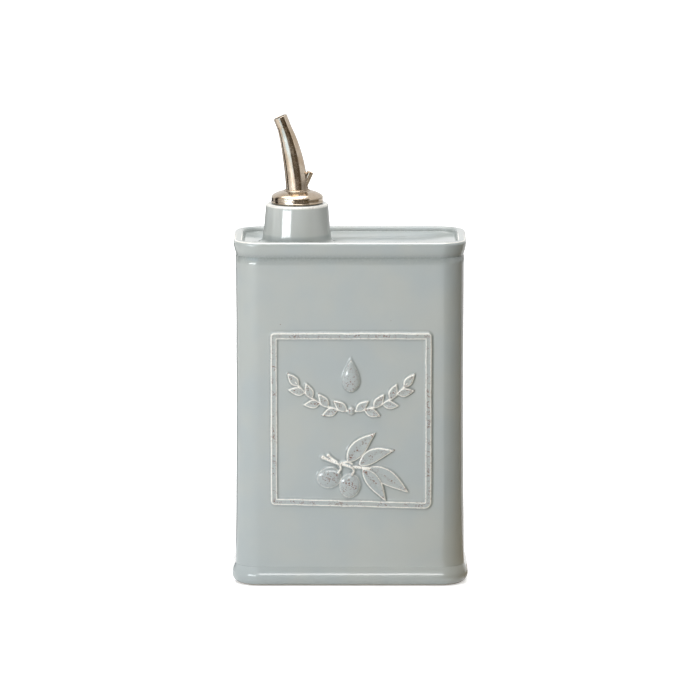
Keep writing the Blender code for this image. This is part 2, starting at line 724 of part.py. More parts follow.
def build():
    clear_scene()
    parts = new_collection("olive_oil_can")
    cutters = new_collection("cutters")
    make_can(parts, cutters)
    make_pourer(parts, cutters)
    bpy.context.view_layer.update()


build()
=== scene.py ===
import math

import bpy
import numpy as np
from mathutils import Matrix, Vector


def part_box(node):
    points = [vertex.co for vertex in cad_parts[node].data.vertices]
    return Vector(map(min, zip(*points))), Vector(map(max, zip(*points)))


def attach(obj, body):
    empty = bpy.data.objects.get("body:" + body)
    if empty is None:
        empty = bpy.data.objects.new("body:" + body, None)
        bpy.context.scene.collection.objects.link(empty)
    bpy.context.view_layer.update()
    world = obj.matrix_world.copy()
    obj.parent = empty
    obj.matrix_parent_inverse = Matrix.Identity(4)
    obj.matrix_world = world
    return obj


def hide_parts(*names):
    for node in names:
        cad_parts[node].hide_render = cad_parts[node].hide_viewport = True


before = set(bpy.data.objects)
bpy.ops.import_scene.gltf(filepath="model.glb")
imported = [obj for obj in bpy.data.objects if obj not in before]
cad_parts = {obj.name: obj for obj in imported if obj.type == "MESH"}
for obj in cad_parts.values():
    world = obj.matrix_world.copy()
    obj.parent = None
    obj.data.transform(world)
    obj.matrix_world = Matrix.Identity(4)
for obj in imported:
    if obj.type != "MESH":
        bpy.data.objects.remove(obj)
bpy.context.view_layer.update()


# The can
# White clay, slip cast in one piece with its foot, rolled rim, neck and plaque, then fired under a
# grey-blue glaze. It is hollow, and the bore of the neck opens into it.

can_low, can_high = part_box("can_body")
MM = 0.001
BASE_OVERHANG = 0.0021
BASE_EDGE_ROUND = 0.0046
BASE_BAND = 0.0002
BASE_SWEEP_HEIGHT = 0.0050
BASE_SWEEP_SHARES = (0.39, 0.07)
FOOT_RING_WIDTH = 0.0050
FOOT_RECESS = 0.0015
FLOOR_THICKNESS = 0.0045
BODY_CORNER = 0.012
BODY_WALL = 0.0045
BODY_WAIST = 0.0004
BODY_FLARE = 0.00045
RIM_TOP = 0.1697
RIM_BAND = 0.0001
RIM_OVERHANG = 0.0010
RIM_WALL = 0.0045
RIM_ROUND = 0.0016
RIM_SWEEP_HEIGHT = 0.0058
RIM_SWEEP_SHARES = (0.06, 0.43)
RIM_GROOVE = 0.0003
RIM_STEPS = 9
# Cream thin glaze along the rim's crest, peaking partway over its round: partly glaze worn thin and
# partly a painted highlight. The back of the rim is spared part of it.
RIM_BREAK_AND_HIGHLIGHT = 0.95
RIM_BREAK_AND_HIGHLIGHT_TURN = 58
RIM_BREAK_AND_HIGHLIGHT_REACH = 20
BACK_RIM_SPARED = 0.7
# Painted shade: a band of the deeper pooled-glaze colour in the groove under the rim.
GROOVE_SHADE = 0.75
GROOVE_SHADE_REACH = 0.0017
TRAY_DEPTH = 0.0037
TRAY_FILLET = 0.0012
TRAY_STEPS = 7
TRAY_DISH = 0.0012
TRAY_DISH_REACH = 0.022
TRAY_THICKNESS = 0.0045
TRAY_RINGS = 16
TRAY_CROWDING = 1.6
CEILING_RINGS = 5
CAVITY_ROUND = 0.0050
NECK_X = -0.0258
NECK_TOP_RADIUS = 0.0154
NECK_BASE_RADIUS = 0.0166
NECK_EDGE_ROUND = 0.0014
NECK_FILLET = 0.0025
NECK_SWELL = 0.0007
NECK_SWELL_TURN = 40
NECK_SWELL_POWER = 2.5
NECK_BORE_RADIUS = 0.0100
NECK_MOUTH_ROUND = 0.0010
HAND_WAVE = 0.00016
HAND_WAVE_LENGTH = 0.034
HAND_WAVE_FROM = (0.004, 0.02)
WAVE_COUNT = 5
THIN_EDGES = (0.35, 1.0)
POOL_EDGES = (0.2, 0.9)
THIN_FOLDS = (0.5, 2.2)
POOL_FOLDS = (0.25, 2.2)
SOFTENINGS = 2
THIN_FOLD_SHARE = 0.6

NECK_TOP = can_high.z
HALF_WIDTH = can_high.x - BASE_OVERHANG
HALF_DEPTH = -can_low.y - BASE_OVERHANG
TRAY_FLOOR = RIM_TOP - TRAY_DEPTH
RIM_IN = RIM_OVERHANG - RIM_WALL
RIM_CREST = RIM_TOP - RIM_ROUND - RIM_BAND
GROOVE_HEIGHT = RIM_CREST - RIM_SWEEP_HEIGHT
BASE_CREST = BASE_EDGE_ROUND + BASE_BAND
SWEEP_TOP = BASE_CREST + BASE_SWEEP_HEIGHT


def ease(start, end, value):
    """0 before start, 1 after end, and an even S between them."""
    share = np.clip((value - start) / (end - start), 0, 1)
    return share * share * (3 - 2 * share)


def near(value, middle, reach):
    """1 where a value is at its middle, falling to 0 like a bell past its reach."""
    return np.exp(-(((value - middle) / reach) ** 2))


def ripple(first, second, length, seed):
    """The slow unevenness of handwork: a few long waves in chosen directions, from -1 to 1."""
    chance = np.random.RandomState(seed)
    total = 0
    for _ in range(WAVE_COUNT):
        heading = chance.uniform(0, 2 * math.pi)
        pace = 2 * math.pi / (length * chance.uniform(0.7, 1.5))
        shift = chance.uniform(0, 2 * math.pi)
        along = first * math.cos(heading) + second * math.sin(heading)
        total = total + np.sin(pace * along + shift)
    return total / WAVE_COUNT


def arc(centre, radius, start_degrees, end_degrees, steps):
    """Points of an arc in a profile plane, both ends included."""
    across, up = centre
    angles = np.radians(np.linspace(start_degrees, end_degrees, steps + 1))
    return [(across + radius * math.cos(turn), up + radius * math.sin(turn)) for turn in angles]


def sweep(start, end, shares, steps):
    """Points of an S between two profile points, held upright for a share of its height at each."""
    start, end = np.array(start), np.array(end)
    upright = np.array((0, end[1] - start[1]))
    low, high = start + upright * shares[0], end - upright * shares[1]
    along = np.linspace(0, 1, steps + 1)[:, None]
    back = 1 - along
    points = back**3 * start + 3 * along * back**2 * low
    points = points + 3 * along**2 * back * high + along**3 * end
    return [tuple(point) for point in points]


# The plaque on the can's front: a thin plate with a flat frame, whose lower right corner hangs
# lower. It is modelled in the mould's master, so its lines waver, and its places are shares of its
# sides.

PLAQUE_X = 0.00055
PLAQUE_Z = 0.0831
PLAQUE_WIDTH = 0.0787
PLAQUE_HEIGHT = 0.0852
PLAQUE_SKEW = 0.0021
PLAQUE_MARGIN = 0.0018
PLAQUE_CORNER = 0.0020
PLAQUE_CORNER_GROWTH = 0.0016
FIELD_RISE = 0.0006
FRAME_RISE = 0.0014
FRAME_WIDTH = 0.0034
FRAME_DISH = 0.00020
FRAME_LIP = 0.0009
POOL_REACH = 0.0010
POOL_RISE = 0.00020
DRAFT = 0.00045
LINE_WAVE = 0.00016
LINE_WAVE_LENGTH = 0.013
EDGE_WAVE = 0.00005
EDGE_WAVE_LENGTH = 0.0032
CELL_COUNTS = (26, 28)
CELL_SPLITS = 10

LEAF_FULLNESS_SHARE = 0.72
LEAF_LIP = 0.00010
LEAF_DISH = 0.00016
LEAF_RIB = 0.00035
LEAF_RIB_RUBBED = 0.0010
LEAF_SHARES = (
    # base across and up, tip across and up, bow as a share of its length, width, rise
    (0.600, 0.228, 0.859, 0.089, 0.04, 0.0078, 0.0009),
    (0.476, 0.262, 0.654, 0.430, 0.04, 0.0078, 0.0012),
    (0.548, 0.246, 0.770, 0.331, 0.08, 0.0070, 0.0011),
    (0.573, 0.224, 0.717, 0.036, 0.03, 0.0070, 0.0014),
)
OLIVE_RISE = 0.0017
OLIVE_LENGTH = 0.0125
OLIVE_WIDTH = 0.0108
OLIVE_SHARES = ((0.365, 0.168, 15), (0.492, 0.125, 80))
TWIG_RADIUS = 0.00103
TWIG_SHARES = (
    (0.328, 0.284), (0.370, 0.266), (0.410, 0.252), (0.497, 0.233), (0.565, 0.229), (0.615, 0.226),
)
STUB_SHARES = (
    ((0.358, 0.298), (0.385, 0.276), (0.419, 0.253)),
    ((0.440, 0.250), (0.478, 0.262), (0.505, 0.250)),
)
STALK_RADIUS = 0.0008
STALK_SHARES = (
    ((0.410, 0.252), (0.433, 0.236), (0.436, 0.216), (0.424, 0.199)),
    ((0.490, 0.235), (0.512, 0.222), (0.517, 0.206), (0.506, 0.191)),
)
GARLAND_CENTRE_SHARES = (0.500, 0.945)
GARLAND_RADIUS = 0.0335
GARLAND_HALF_ANGLE = 54
GARLAND_STEPS = 28
GARLAND_LEAVES = 7
GARLAND_LEAF_LENGTH = 0.0084
GARLAND_LEAF_WIDTH = 0.0044
GARLAND_LEAF_SPREAD = 33
GARLAND_RISE = 0.0010
GARLAND_TWIG_RADIUS = 0.0008
BEAD_RADIUS = 0.0019
BEAD_RISE = 0.0015
DROP_SHARES = (0.500, 0.760)
DROP_LENGTH = 0.0170
DROP_WIDTH = 0.0104
DROP_RISE = 0.0017
BULGE_POWER = 2.2
CREAM_SHARE = 0.55
CREAM_AT = 0.42
CREAM_REACH = 0.2


def plaque_spot(across_share, up_share):
    """A place on the level plaque, from its middle, by its shares of the width and the height."""
    return np.array(((across_share - 0.5) * PLAQUE_WIDTH, (up_share - 0.5) * PLAQUE_HEIGHT))


def pooled_beside(inside):
    """How much glaze gathers in a soft hollow along an outline."""
    return np.clip(1 + inside / POOL_REACH, 0, 1) ** 2 * POOL_RISE


def round_over(span):
    """The height of a round form from 1 at its middle to 0 at its edge, where its span is 1."""
    return np.sqrt(np.clip(1 - span**BULGE_POWER, 0, 1))


def levelled(x, z):
    """Where points of the wall lie on the plaque before its lower right corner was let down."""
    drop = PLAQUE_SKEW * ((x - PLAQUE_X) / PLAQUE_WIDTH + 0.5)
    return x - PLAQUE_X, (z - PLAQUE_Z + drop / 2) / (1 + drop / PLAQUE_HEIGHT)


class Relief:
    """Heights over the plaque's field at a grid of points, and how hard each point gets rubbed."""

    def __init__(self, x, z):
        self.across, self.up = levelled(x, z)
        slow = [ripple(x, z, LINE_WAVE_LENGTH, seed) * LINE_WAVE for seed in (3, 4)]
        fine = [ripple(x, z, EDGE_WAVE_LENGTH, seed) * EDGE_WAVE for seed in (5, 6)]
        self.across = self.across + slow[0] + fine[0]
        self.up = self.up + slow[1] + fine[1]
        self.height = np.zeros_like(x)
        self.pool = np.zeros_like(x)
        self.rubbed = np.zeros_like(x)
        self.cream = np.zeros_like(x)

    def raise_to(self, height, rubbed, cream):
        """Raises the surface where it is lower, with its rubbing and its share of cream there."""
        higher = height > self.height
        self.rubbed = np.where(higher, rubbed, self.rubbed)
        self.cream = np.where(higher, cream, self.cream)
        self.height = np.maximum(self.height, height)

    def pool_beside(self, inside):
        """Lets the glaze gather along an outline."""
        self.pool = np.maximum(self.pool, pooled_beside(inside))

    def from_spot(self, spot, heading):
        """Each point's distance from a spot, along a heading and to its left."""
        right, up = self.across - spot[0], self.up - spot[1]
        return (
            right * math.cos(heading) + up * math.sin(heading),
            up * math.cos(heading) - right * math.sin(heading),
        )

    def leaf(self, base, tip, width, bow, rise):
        """A flat leaf with a thin upturned edge, a low middle and a midrib drawn into it."""
        reach = tip - base
        length = float(np.hypot(*reach))
        along, aside = self.from_spot(base, math.atan2(reach[1], reach[0]))
        share = np.clip(along / length, 0, 1)
        half = width / 2 * np.sin(math.pi * share**LEAF_FULLNESS_SHARE)
        off_rib = aside - bow * length * np.sin(math.pi * share)
        past = np.maximum(np.maximum(-along, along - length), 0)
        inside = half - np.abs(off_rib) - past
        lip = near(inside, DRAFT, 0.8 * DRAFT) * LEAF_LIP
        dish = ease(DRAFT, width / 2, inside) * LEAF_DISH
        rib = near(off_rib, 0, LEAF_RIB) * ease(0.05, 0.2, share) * (1 - ease(0.7, 0.95, share))
        top = rise + lip - dish - rib * LEAF_DISH
        rubbed = 0.15 + 0.8 * near(off_rib, 0, LEAF_RIB_RUBBED)
        cream = 0.9 * near(inside, 0.8 * DRAFT, 0.7 * DRAFT)
        self.raise_to(ease(-DRAFT / 3, DRAFT, inside) * top, rubbed, cream)
        self.pool_beside(inside)

    def bulge_to(self, bulge, rise, rubbed):
        """A round form, rubbed on its top, with a cream line low round its side."""
        cream = CREAM_SHARE * near(bulge, CREAM_AT, CREAM_REACH)
        self.raise_to(bulge * rise, rubbed * ease(0.5, 0.9, bulge), cream)

    def dome(self, spot, size, heading, rise):
        """An olive, a bead or the like: half of a drawn-out ball."""
        along, aside = self.from_spot(spot, math.radians(heading))
        span = np.hypot(along / size[0], aside / size[1])
        self.bulge_to(round_over(span), rise, 0.8)
        self.pool_beside((1 - span) * size[1])

    def drop(self, spot, length, width, rise):
        """An oil drop: round below, drawn out to a point above."""
        along, aside = self.from_spot(spot, math.pi / 2)
        share = np.clip(along / length + 0.5, 0, 1)
        half = width / 2 * np.sqrt(np.clip(1 - (2 * share - 1) ** 2, 0, 1)) * (1 - share**2)
        span = np.abs(aside) / np.maximum(half, 1e-6)
        self.bulge_to(round_over(span) * np.sqrt(np.clip(half / (width / 2.6), 0, 1)), rise, 0.6)
        self.pool_beside(half - np.abs(aside) - np.maximum(np.abs(along) - length / 2, 0))

    def rod(self, spots, radius, knob, laid_over=False):
        """A round twig through its spots, thicker at its cut first end by a share of its radius."""
        distance = np.full_like(self.across, 1.0)
        for start, end in zip(spots, spots[1:]):
            reach = end - start
            along, aside = self.from_spot(start, math.atan2(reach[1], reach[0]))
            past = along - np.clip(along, 0, float(np.hypot(*reach)))
            distance = np.minimum(distance, np.hypot(past, aside))
        end_along, end_aside = self.from_spot(spots[0], 0)
        distance = np.minimum(distance, np.hypot(end_along, end_aside) - radius * knob)
        bulge = np.sqrt(np.clip(1 - (np.maximum(distance, 0) / radius) ** 2, 0, 1))
        base = self.height * (bulge > 0) if laid_over else 0
        self.raise_to(base + bulge * radius, 0.6 * bulge, 0.85 * ease(0.6, 0.95, bulge))
        self.pool_beside(radius - distance)


def garland_place(degrees):
    """A place on the hanging twig, by its angle from the lowest point."""
    swing = math.radians(degrees)
    spoke = np.array((math.sin(swing), -math.cos(swing)))
    return plaque_spot(*GARLAND_CENTRE_SHARES) + GARLAND_RADIUS * spoke


def model_garland(relief):
    """The hanging twig, its leaves in turn above and below it on both sides, and the bead."""
    angles = np.linspace(-GARLAND_HALF_ANGLE, GARLAND_HALF_ANGLE, GARLAND_STEPS + 1)
    relief.rod([garland_place(degrees) for degrees in angles], GARLAND_TWIG_RADIUS, 0)
    for side in (-1, 1):
        for index in range(GARLAND_LEAVES):
            last = index == GARLAND_LEAVES - 1
            spread = 0 if last else GARLAND_LEAF_SPREAD * (-1) ** index
            degrees = GARLAND_HALF_ANGLE * (index + 0.5) / GARLAND_LEAVES
            heading = math.radians(degrees + spread)
            start = garland_place(side * degrees)
            reach = GARLAND_LEAF_LENGTH * np.array((side * math.cos(heading), math.sin(heading)))
            relief.leaf(start, start + reach, GARLAND_LEAF_WIDTH, 0, GARLAND_RISE)
    relief.dome(garland_place(0), (BEAD_RADIUS, BEAD_RADIUS), 0, BEAD_RISE)


def model_sprig(relief):
    """The olive sprig: four leaves, two olives on hooked stalks and the twig with its cut ends."""
    for *ends, bow, width, rise in LEAF_SHARES:
        relief.leaf(plaque_spot(*ends[:2]), plaque_spot(*ends[2:]), width, bow, rise)
    for across, up, turn in OLIVE_SHARES:
        relief.dome(plaque_spot(across, up), (OLIVE_LENGTH / 2, OLIVE_WIDTH / 2), turn, OLIVE_RISE)
    relief.rod([plaque_spot(*share) for share in TWIG_SHARES], TWIG_RADIUS, 0.35)
    for shares in STUB_SHARES:
        relief.rod([plaque_spot(*share) for share in shares], STALK_RADIUS, 0.3)
    for shares in STALK_SHARES:
        relief.rod([plaque_spot(*share) for share in reversed(shares)], STALK_RADIUS, 0.15, True)


def model_plaque(x, z, wall_y):
    """The front with the plaque on it: each point's y, how rubbed it is and its share of cream."""
    relief = Relief(x, z)
    model_garland(relief)
    relief.drop(plaque_spot(*DROP_SHARES), DROP_LENGTH, DROP_WIDTH, DROP_RISE)
    model_sprig(relief)
    right_share = np.clip(relief.across / PLAQUE_WIDTH + 0.5, 0, 1)
    down_share = np.clip(0.5 - relief.up / PLAQUE_HEIGHT, 0, 1)
    corner = PLAQUE_CORNER + PLAQUE_CORNER_GROWTH * right_share * down_share
    past_side = np.abs(relief.across) - PLAQUE_WIDTH / 2 + corner
    past_end = np.abs(relief.up) - PLAQUE_HEIGHT / 2 + corner
    outside = np.hypot(np.maximum(past_side, 0), np.maximum(past_end, 0))
    inside = corner - outside - np.minimum(np.maximum(past_side, past_end), 0)
    lip_start = FRAME_WIDTH - FRAME_LIP
    dish = ease(FRAME_LIP, FRAME_LIP + DRAFT, inside) - ease(lip_start - DRAFT, lip_start, inside)
    frame_top = FRAME_RISE - FRAME_DISH * dish
    on_field = ease(FRAME_WIDTH - DRAFT / 2, FRAME_WIDTH + DRAFT / 2, inside)
    relief.pool_beside(FRAME_WIDTH - inside)
    height = frame_top + (FIELD_RISE + relief.pool + relief.height - frame_top) * on_field
    cover = ease(-DRAFT / 2, DRAFT * 0.7, inside)
    plaque_y = BODY_WAIST - HALF_DEPTH - height
    beside = pooled_beside(inside + DRAFT / 3)
    y = np.minimum(wall_y - beside * (1 - cover), wall_y + (plaque_y - wall_y) * cover)
    on_frame = cover * (1 - on_field)
    lips = 0.95 * near(inside, 0.6 * FRAME_LIP, 0.36 * FRAME_LIP)
    lips += 0.85 * near(inside, FRAME_WIDTH - 0.5 * FRAME_LIP, 0.36 * FRAME_LIP)
    rubbed = relief.rubbed * on_field + (0.25 + 0.45 * dish) * on_frame
    return y, rubbed, relief.cream * on_field + lips * on_frame


# The can's surface as one closed skin: rings run up from the recessed foot, over the rim, in across
# the tray, up and down through the neck and round the reservoir. A finer grid stands in for the
# front wall where the plaque is.


def wall_offset(height):
    """How far the plain wall stands out where it flares to the foot, or draws in at its waist."""
    share = (height - SWEEP_TOP) / (GROOVE_HEIGHT - RIM_GROOVE - SWEEP_TOP)
    return BODY_FLARE * (1 - share) - BODY_WAIST * np.sin(math.pi * share)


def plaque_window():
    """Where the fine grid lies on the front wall: its left, right, lower and upper edge."""
    half = PLAQUE_WIDTH / 2 + PLAQUE_MARGIN
    low = PLAQUE_Z - PLAQUE_HEIGHT / 2 - PLAQUE_SKEW - PLAQUE_MARGIN
    return PLAQUE_X - half, PLAQUE_X + half, low, PLAQUE_Z + PLAQUE_HEIGHT / 2 + PLAQUE_MARGIN


def can_columns():
    """Each column's middle and outward direction, anticlockwise from the front left."""
    flat_x, flat_y = HALF_WIDTH - BODY_CORNER, HALF_DEPTH - BODY_CORNER
    left, right, *_ = plaque_window()
    front = [-flat_x, *np.linspace(left, right, CELL_COUNTS[0] + 1), flat_x]
    runs = (
        ([(x, -flat_y) for x in front], -90),
        ([(flat_x, y) for y in np.linspace(-flat_y, flat_y, 9)], 0),
        ([(x, flat_y) for x in np.linspace(flat_x, -flat_x, 29)], 90),
        ([(-flat_x, y) for y in np.linspace(flat_y, -flat_y, 15)], 180),
    )
    columns = []
    for spots, facing in runs:
        columns += [(x, y, facing) for x, y in spots]
        columns += [(*spots[-1], facing + turn) for turn in np.linspace(0, 90, 13)[1:-1]]
    spots = np.array(columns)
    facings = np.radians(spots[:, 2])
    return spots[:, :2], np.column_stack((np.cos(facings), np.sin(facings)))


def outer_profile():
    """(offset, height) pairs from the foot recess up the wall and over the rim into the tray."""
    foot_out = BASE_OVERHANG - BASE_EDGE_ROUND
    foot_in = foot_out - FOOT_RING_WIDTH
    foot_round = FOOT_RECESS / 3
    profile = [(foot_in - FOOT_RECESS, FOOT_RECESS)]
    profile += [(foot_in - foot_round, foot_round / 2), (foot_in, 0)]
    profile += arc((foot_out, BASE_EDGE_ROUND), BASE_EDGE_ROUND, -90, 0, 10)
    profile += sweep((BASE_OVERHANG, BASE_CREST), (BODY_FLARE, SWEEP_TOP), BASE_SWEEP_SHARES, 14)
    *_, low, high = plaque_window()
    heights = list(np.linspace(SWEEP_TOP, low, 8)[1:])
    heights += list(np.linspace(low, high, CELL_COUNTS[1] + 1)[1:])
    heights += list(np.linspace(high, GROOVE_HEIGHT - RIM_GROOVE, 11)[1:])
    profile += [(float(wall_offset(height)), height) for height in heights]
    profile += sweep((-RIM_GROOVE, GROOVE_HEIGHT), (RIM_OVERHANG, RIM_CREST), RIM_SWEEP_SHARES, 14)
    profile += arc((RIM_OVERHANG - RIM_ROUND, RIM_TOP - RIM_ROUND), RIM_ROUND, 0, 90, RIM_STEPS)
    profile += arc((RIM_IN + RIM_ROUND, RIM_TOP - RIM_ROUND), RIM_ROUND, 90, 180, RIM_STEPS)
    edge_slope = math.degrees(2 * TRAY_DISH / TRAY_DISH_REACH)
    centre = (RIM_IN - TRAY_FILLET, TRAY_FLOOR + TRAY_DISH + TRAY_FILLET)
    return profile + arc(centre, TRAY_FILLET, 0, edge_slope - 90, TRAY_STEPS)


def neck_profile():
    """(radius, height) pairs from the tray up the neck, over its lip and down its bore."""
    fillet_centre = (NECK_BASE_RADIUS + NECK_FILLET, TRAY_FLOOR + NECK_FILLET)
    edge_centre = (NECK_TOP_RADIUS - NECK_EDGE_ROUND, NECK_TOP - NECK_EDGE_ROUND)
    mouth_centre = (NECK_BORE_RADIUS + NECK_MOUTH_ROUND, NECK_TOP - NECK_MOUTH_ROUND)
    bottom = TRAY_FLOOR - TRAY_THICKNESS
    root = (NECK_BORE_RADIUS + NECK_MOUTH_ROUND, bottom + NECK_MOUTH_ROUND)
    profile = arc(fillet_centre, NECK_FILLET, 270, 183, 8)
    low, high = np.array(profile[-1]), np.array((NECK_TOP_RADIUS, NECK_TOP - NECK_EDGE_ROUND))
    profile += [tuple(low + (high - low) * share) for share in np.linspace(0, 1, 9)[1:-1]]
    profile += arc(edge_centre, NECK_EDGE_ROUND, 0, 90, 8)
    profile += arc(mouth_centre, NECK_MOUTH_ROUND, 90, 180, 6)
    for share in (0.3, 0.7):
        profile.append((NECK_BORE_RADIUS, mouth_centre[1] - (mouth_centre[1] - root[1]) * share))
    profile += arc(root, NECK_MOUTH_ROUND, 180, 270, 5)
    return profile


def reservoir_profile():
    """(offset, height) pairs of the inside, from its ceiling down to its floor."""
    inner = -BODY_WALL - CAVITY_ROUND
    ceiling, floor = TRAY_FLOOR - TRAY_THICKNESS, FOOT_RECESS + FLOOR_THICKNESS
    profile = arc((inner, ceiling - CAVITY_ROUND), CAVITY_ROUND, 90, 0, 6)
    for height in np.linspace(ceiling - CAVITY_ROUND, floor + CAVITY_ROUND, 8)[1:-1]:
        profile.append((-BODY_WALL, height))
    return profile + arc((inner, floor + CAVITY_ROUND), CAVITY_ROUND, 0, -90, 6)


def bend_per_mm(profile):
    """How sharply a profile turns at each of its points: over 0 where it is an outer edge."""
    points = np.array(profile)
    steps = np.diff(points, axis=0)
    lengths = np.hypot(*steps.T)
    headings = np.unwrap(np.arctan2(steps[:, 1], steps[:, 0]))
    turns = np.diff(headings) / np.maximum((lengths[1:] + lengths[:-1]) / 2, 0.2 * MM) * MM
    return np.concatenate(([0], turns, [0]))


def wall_rings(spots, facings, profile):
    """A level ring round the walls at each (offset, height) pair."""
    return [
        np.column_stack((spots + facings * (BODY_CORNER + offset), np.full(len(spots), height)))
        for offset, height in profile
    ]


def can_rings(spots, facings):
    """Every ring of the skin from the foot to the reservoir's floor, with its edge sharpness."""
    outer, neck, inside = outer_profile(), neck_profile(), reservoir_profile()
    rings, inner_rings = wall_rings(spots, facings, outer), wall_rings(spots, facings, inside)
    centre = np.array((NECK_X, 0))
    spokes = rings[-1][:, :2] - centre
    spokes /= np.hypot(*spokes.T)[:, None]
    headings = np.arctan2(spokes[:, 1], spokes[:, 0])
    left_share = 0.5 - 0.5 * np.sin(headings + math.radians(NECK_SWELL_TURN))
    neck_rings = []
    for radius, height in neck:
        low_share = np.clip((NECK_TOP - NECK_EDGE_ROUND - height) / (NECK_TOP - TRAY_FLOOR), 0, 1)
        outside = radius > NECK_BORE_RADIUS + NECK_MOUTH_ROUND
        swell = NECK_SWELL * left_share * low_share**NECK_SWELL_POWER * outside
        spots_out = centre + spokes * (radius + swell)[:, None]
        neck_rings.append(np.column_stack((spots_out, np.full(len(spots), height))))
    tray = []
    for share in np.linspace(0, 1, TRAY_RINGS + 1)[1:-1] ** TRAY_CROWDING:
        ring = rings[-1] + (neck_rings[0] - rings[-1]) * share
        from_wall = np.hypot(*(ring - rings[-1])[:, :2].T)
        dish = TRAY_DISH * np.clip(1 - from_wall / TRAY_DISH_REACH, 0, 1) ** 2
        ring[:, 2] = TRAY_FLOOR + dish * (1 - share**3)
        tray.append(ring)
    shares = np.linspace(0, 1, CEILING_RINGS + 1)[1:-1]
    ceiling = [neck_rings[-1] + (inner_rings[0] - neck_rings[-1]) * share for share in shares]
    # The rim's crest is marked as an edge, peaking partway over the round: partly glaze break and
    # partly a painted highlight along the crest.
    crest_turns = np.linspace(0, 90, RIM_STEPS + 1)
    crest_break_and_highlight = RIM_BREAK_AND_HIGHLIGHT * near(crest_turns, RIM_BREAK_AND_HIGHLIGHT_TURN, RIM_BREAK_AND_HIGHLIGHT_REACH)
    crest_end = len(outer) - TRAY_STEPS - 1
    rim_break_and_highlight = np.zeros(len(outer))
    rim_break_and_highlight[crest_end - 2 * len(crest_break_and_highlight):crest_end] = [*crest_break_and_highlight, *crest_break_and_highlight[::-1]]
    folds = bend_per_mm(outer) * (rim_break_and_highlight == 0) + rim_break_and_highlight
    flat_tray, flat_ceiling = np.zeros(len(tray)), np.zeros(len(ceiling))
    sharpness = (folds, flat_tray, bend_per_mm(neck), flat_ceiling, bend_per_mm(inside))
    skin = np.array([*rings, *tray, *neck_rings, *ceiling, *inner_rings])
    return skin, np.concatenate(sharpness), len(rings) + len(tray) + len(neck)


def hand_hollow(around, height):
    """How far a wall smoothed by hand lies inside its true place."""
    return HAND_WAVE * (0.5 + 0.5 * ripple(around, height, HAND_WAVE_LENGTH, 1))


def skin_marks(rings, sharpness, outside_count):
    """How thin the glaze runs over each ring point's edge and how deep it pools there, with a
    painted highlight on the rim's crest and painted shade in the groove under the rim.
    """
    heights = rings[:, 0, 2]
    at_back = ease(-0.5 * HALF_DEPTH, 0.7 * HALF_DEPTH, rings[..., 1])
    on_rim = np.abs(heights - RIM_TOP) < 1.2 * RIM_ROUND
    spared = BACK_RIM_SPARED * at_back * on_rim[:, None]
    thin = ease(*THIN_EDGES, sharpness)[:, None] * (1 - spared)
    # Painted shade: the groove under the rim gets the deeper pooled-glaze colour in a band round
    # it.
    groove_shade = GROOVE_SHADE * near(heights, GROOVE_HEIGHT, GROOVE_SHADE_REACH)
    groove_shade = groove_shade * (np.arange(len(rings)) < outside_count)
    pool = np.maximum(ease(*POOL_EDGES, -sharpness), groove_shade)
    return thin.ravel(), np.repeat(pool, rings.shape[1])


def skin_faces(numbers, grid, first_row, first_column):
    """Faces over the rings' numbered points, with the fine grid in place of the front wall."""
    last_row, last_column = first_row + CELL_COUNTS[1], first_column + CELL_COUNTS[0]
    row_count, column_count = numbers.shape
    faces = [tuple(reversed(numbers[0])), tuple(numbers[-1])]
    for row in range(row_count - 1):
        for column in range(column_count):
            after = (column + 1) % column_count
            inside_rows = first_row <= row < last_row
            inside_columns = first_column <= column < last_column
            if inside_rows and inside_columns:
                continue
            face = [*numbers[row, [column, after]], *numbers[row + 1, [after, column]]]
            # A face beside the fine grid takes in the grid's border points, so that no gap opens.
            at_row = (row - first_row) * CELL_SPLITS
            at_column = (column - first_column) * CELL_SPLITS
            between_rows = slice(at_row + 1, at_row + CELL_SPLITS)
            between_columns = slice(at_column + 1, at_column + CELL_SPLITS)
            if inside_columns and row == first_row - 1:
                face[3:3] = grid[0, between_columns][::-1]
            if inside_columns and row == last_row:
                face[1:1] = grid[-1, between_columns]
            if inside_rows and column == first_column - 1:
                face[2:2] = grid[between_rows, 0]
            if inside_rows and column == last_column:
                face[4:4] = grid[between_rows, -1][::-1]
            faces.append(tuple(face))
    quads = np.stack((grid[:-1, :-1], grid[:-1, 1:], grid[1:, 1:], grid[1:, :-1]), axis=-1)
    return faces + [tuple(quad) for quad in quads.reshape(-1, 4)]


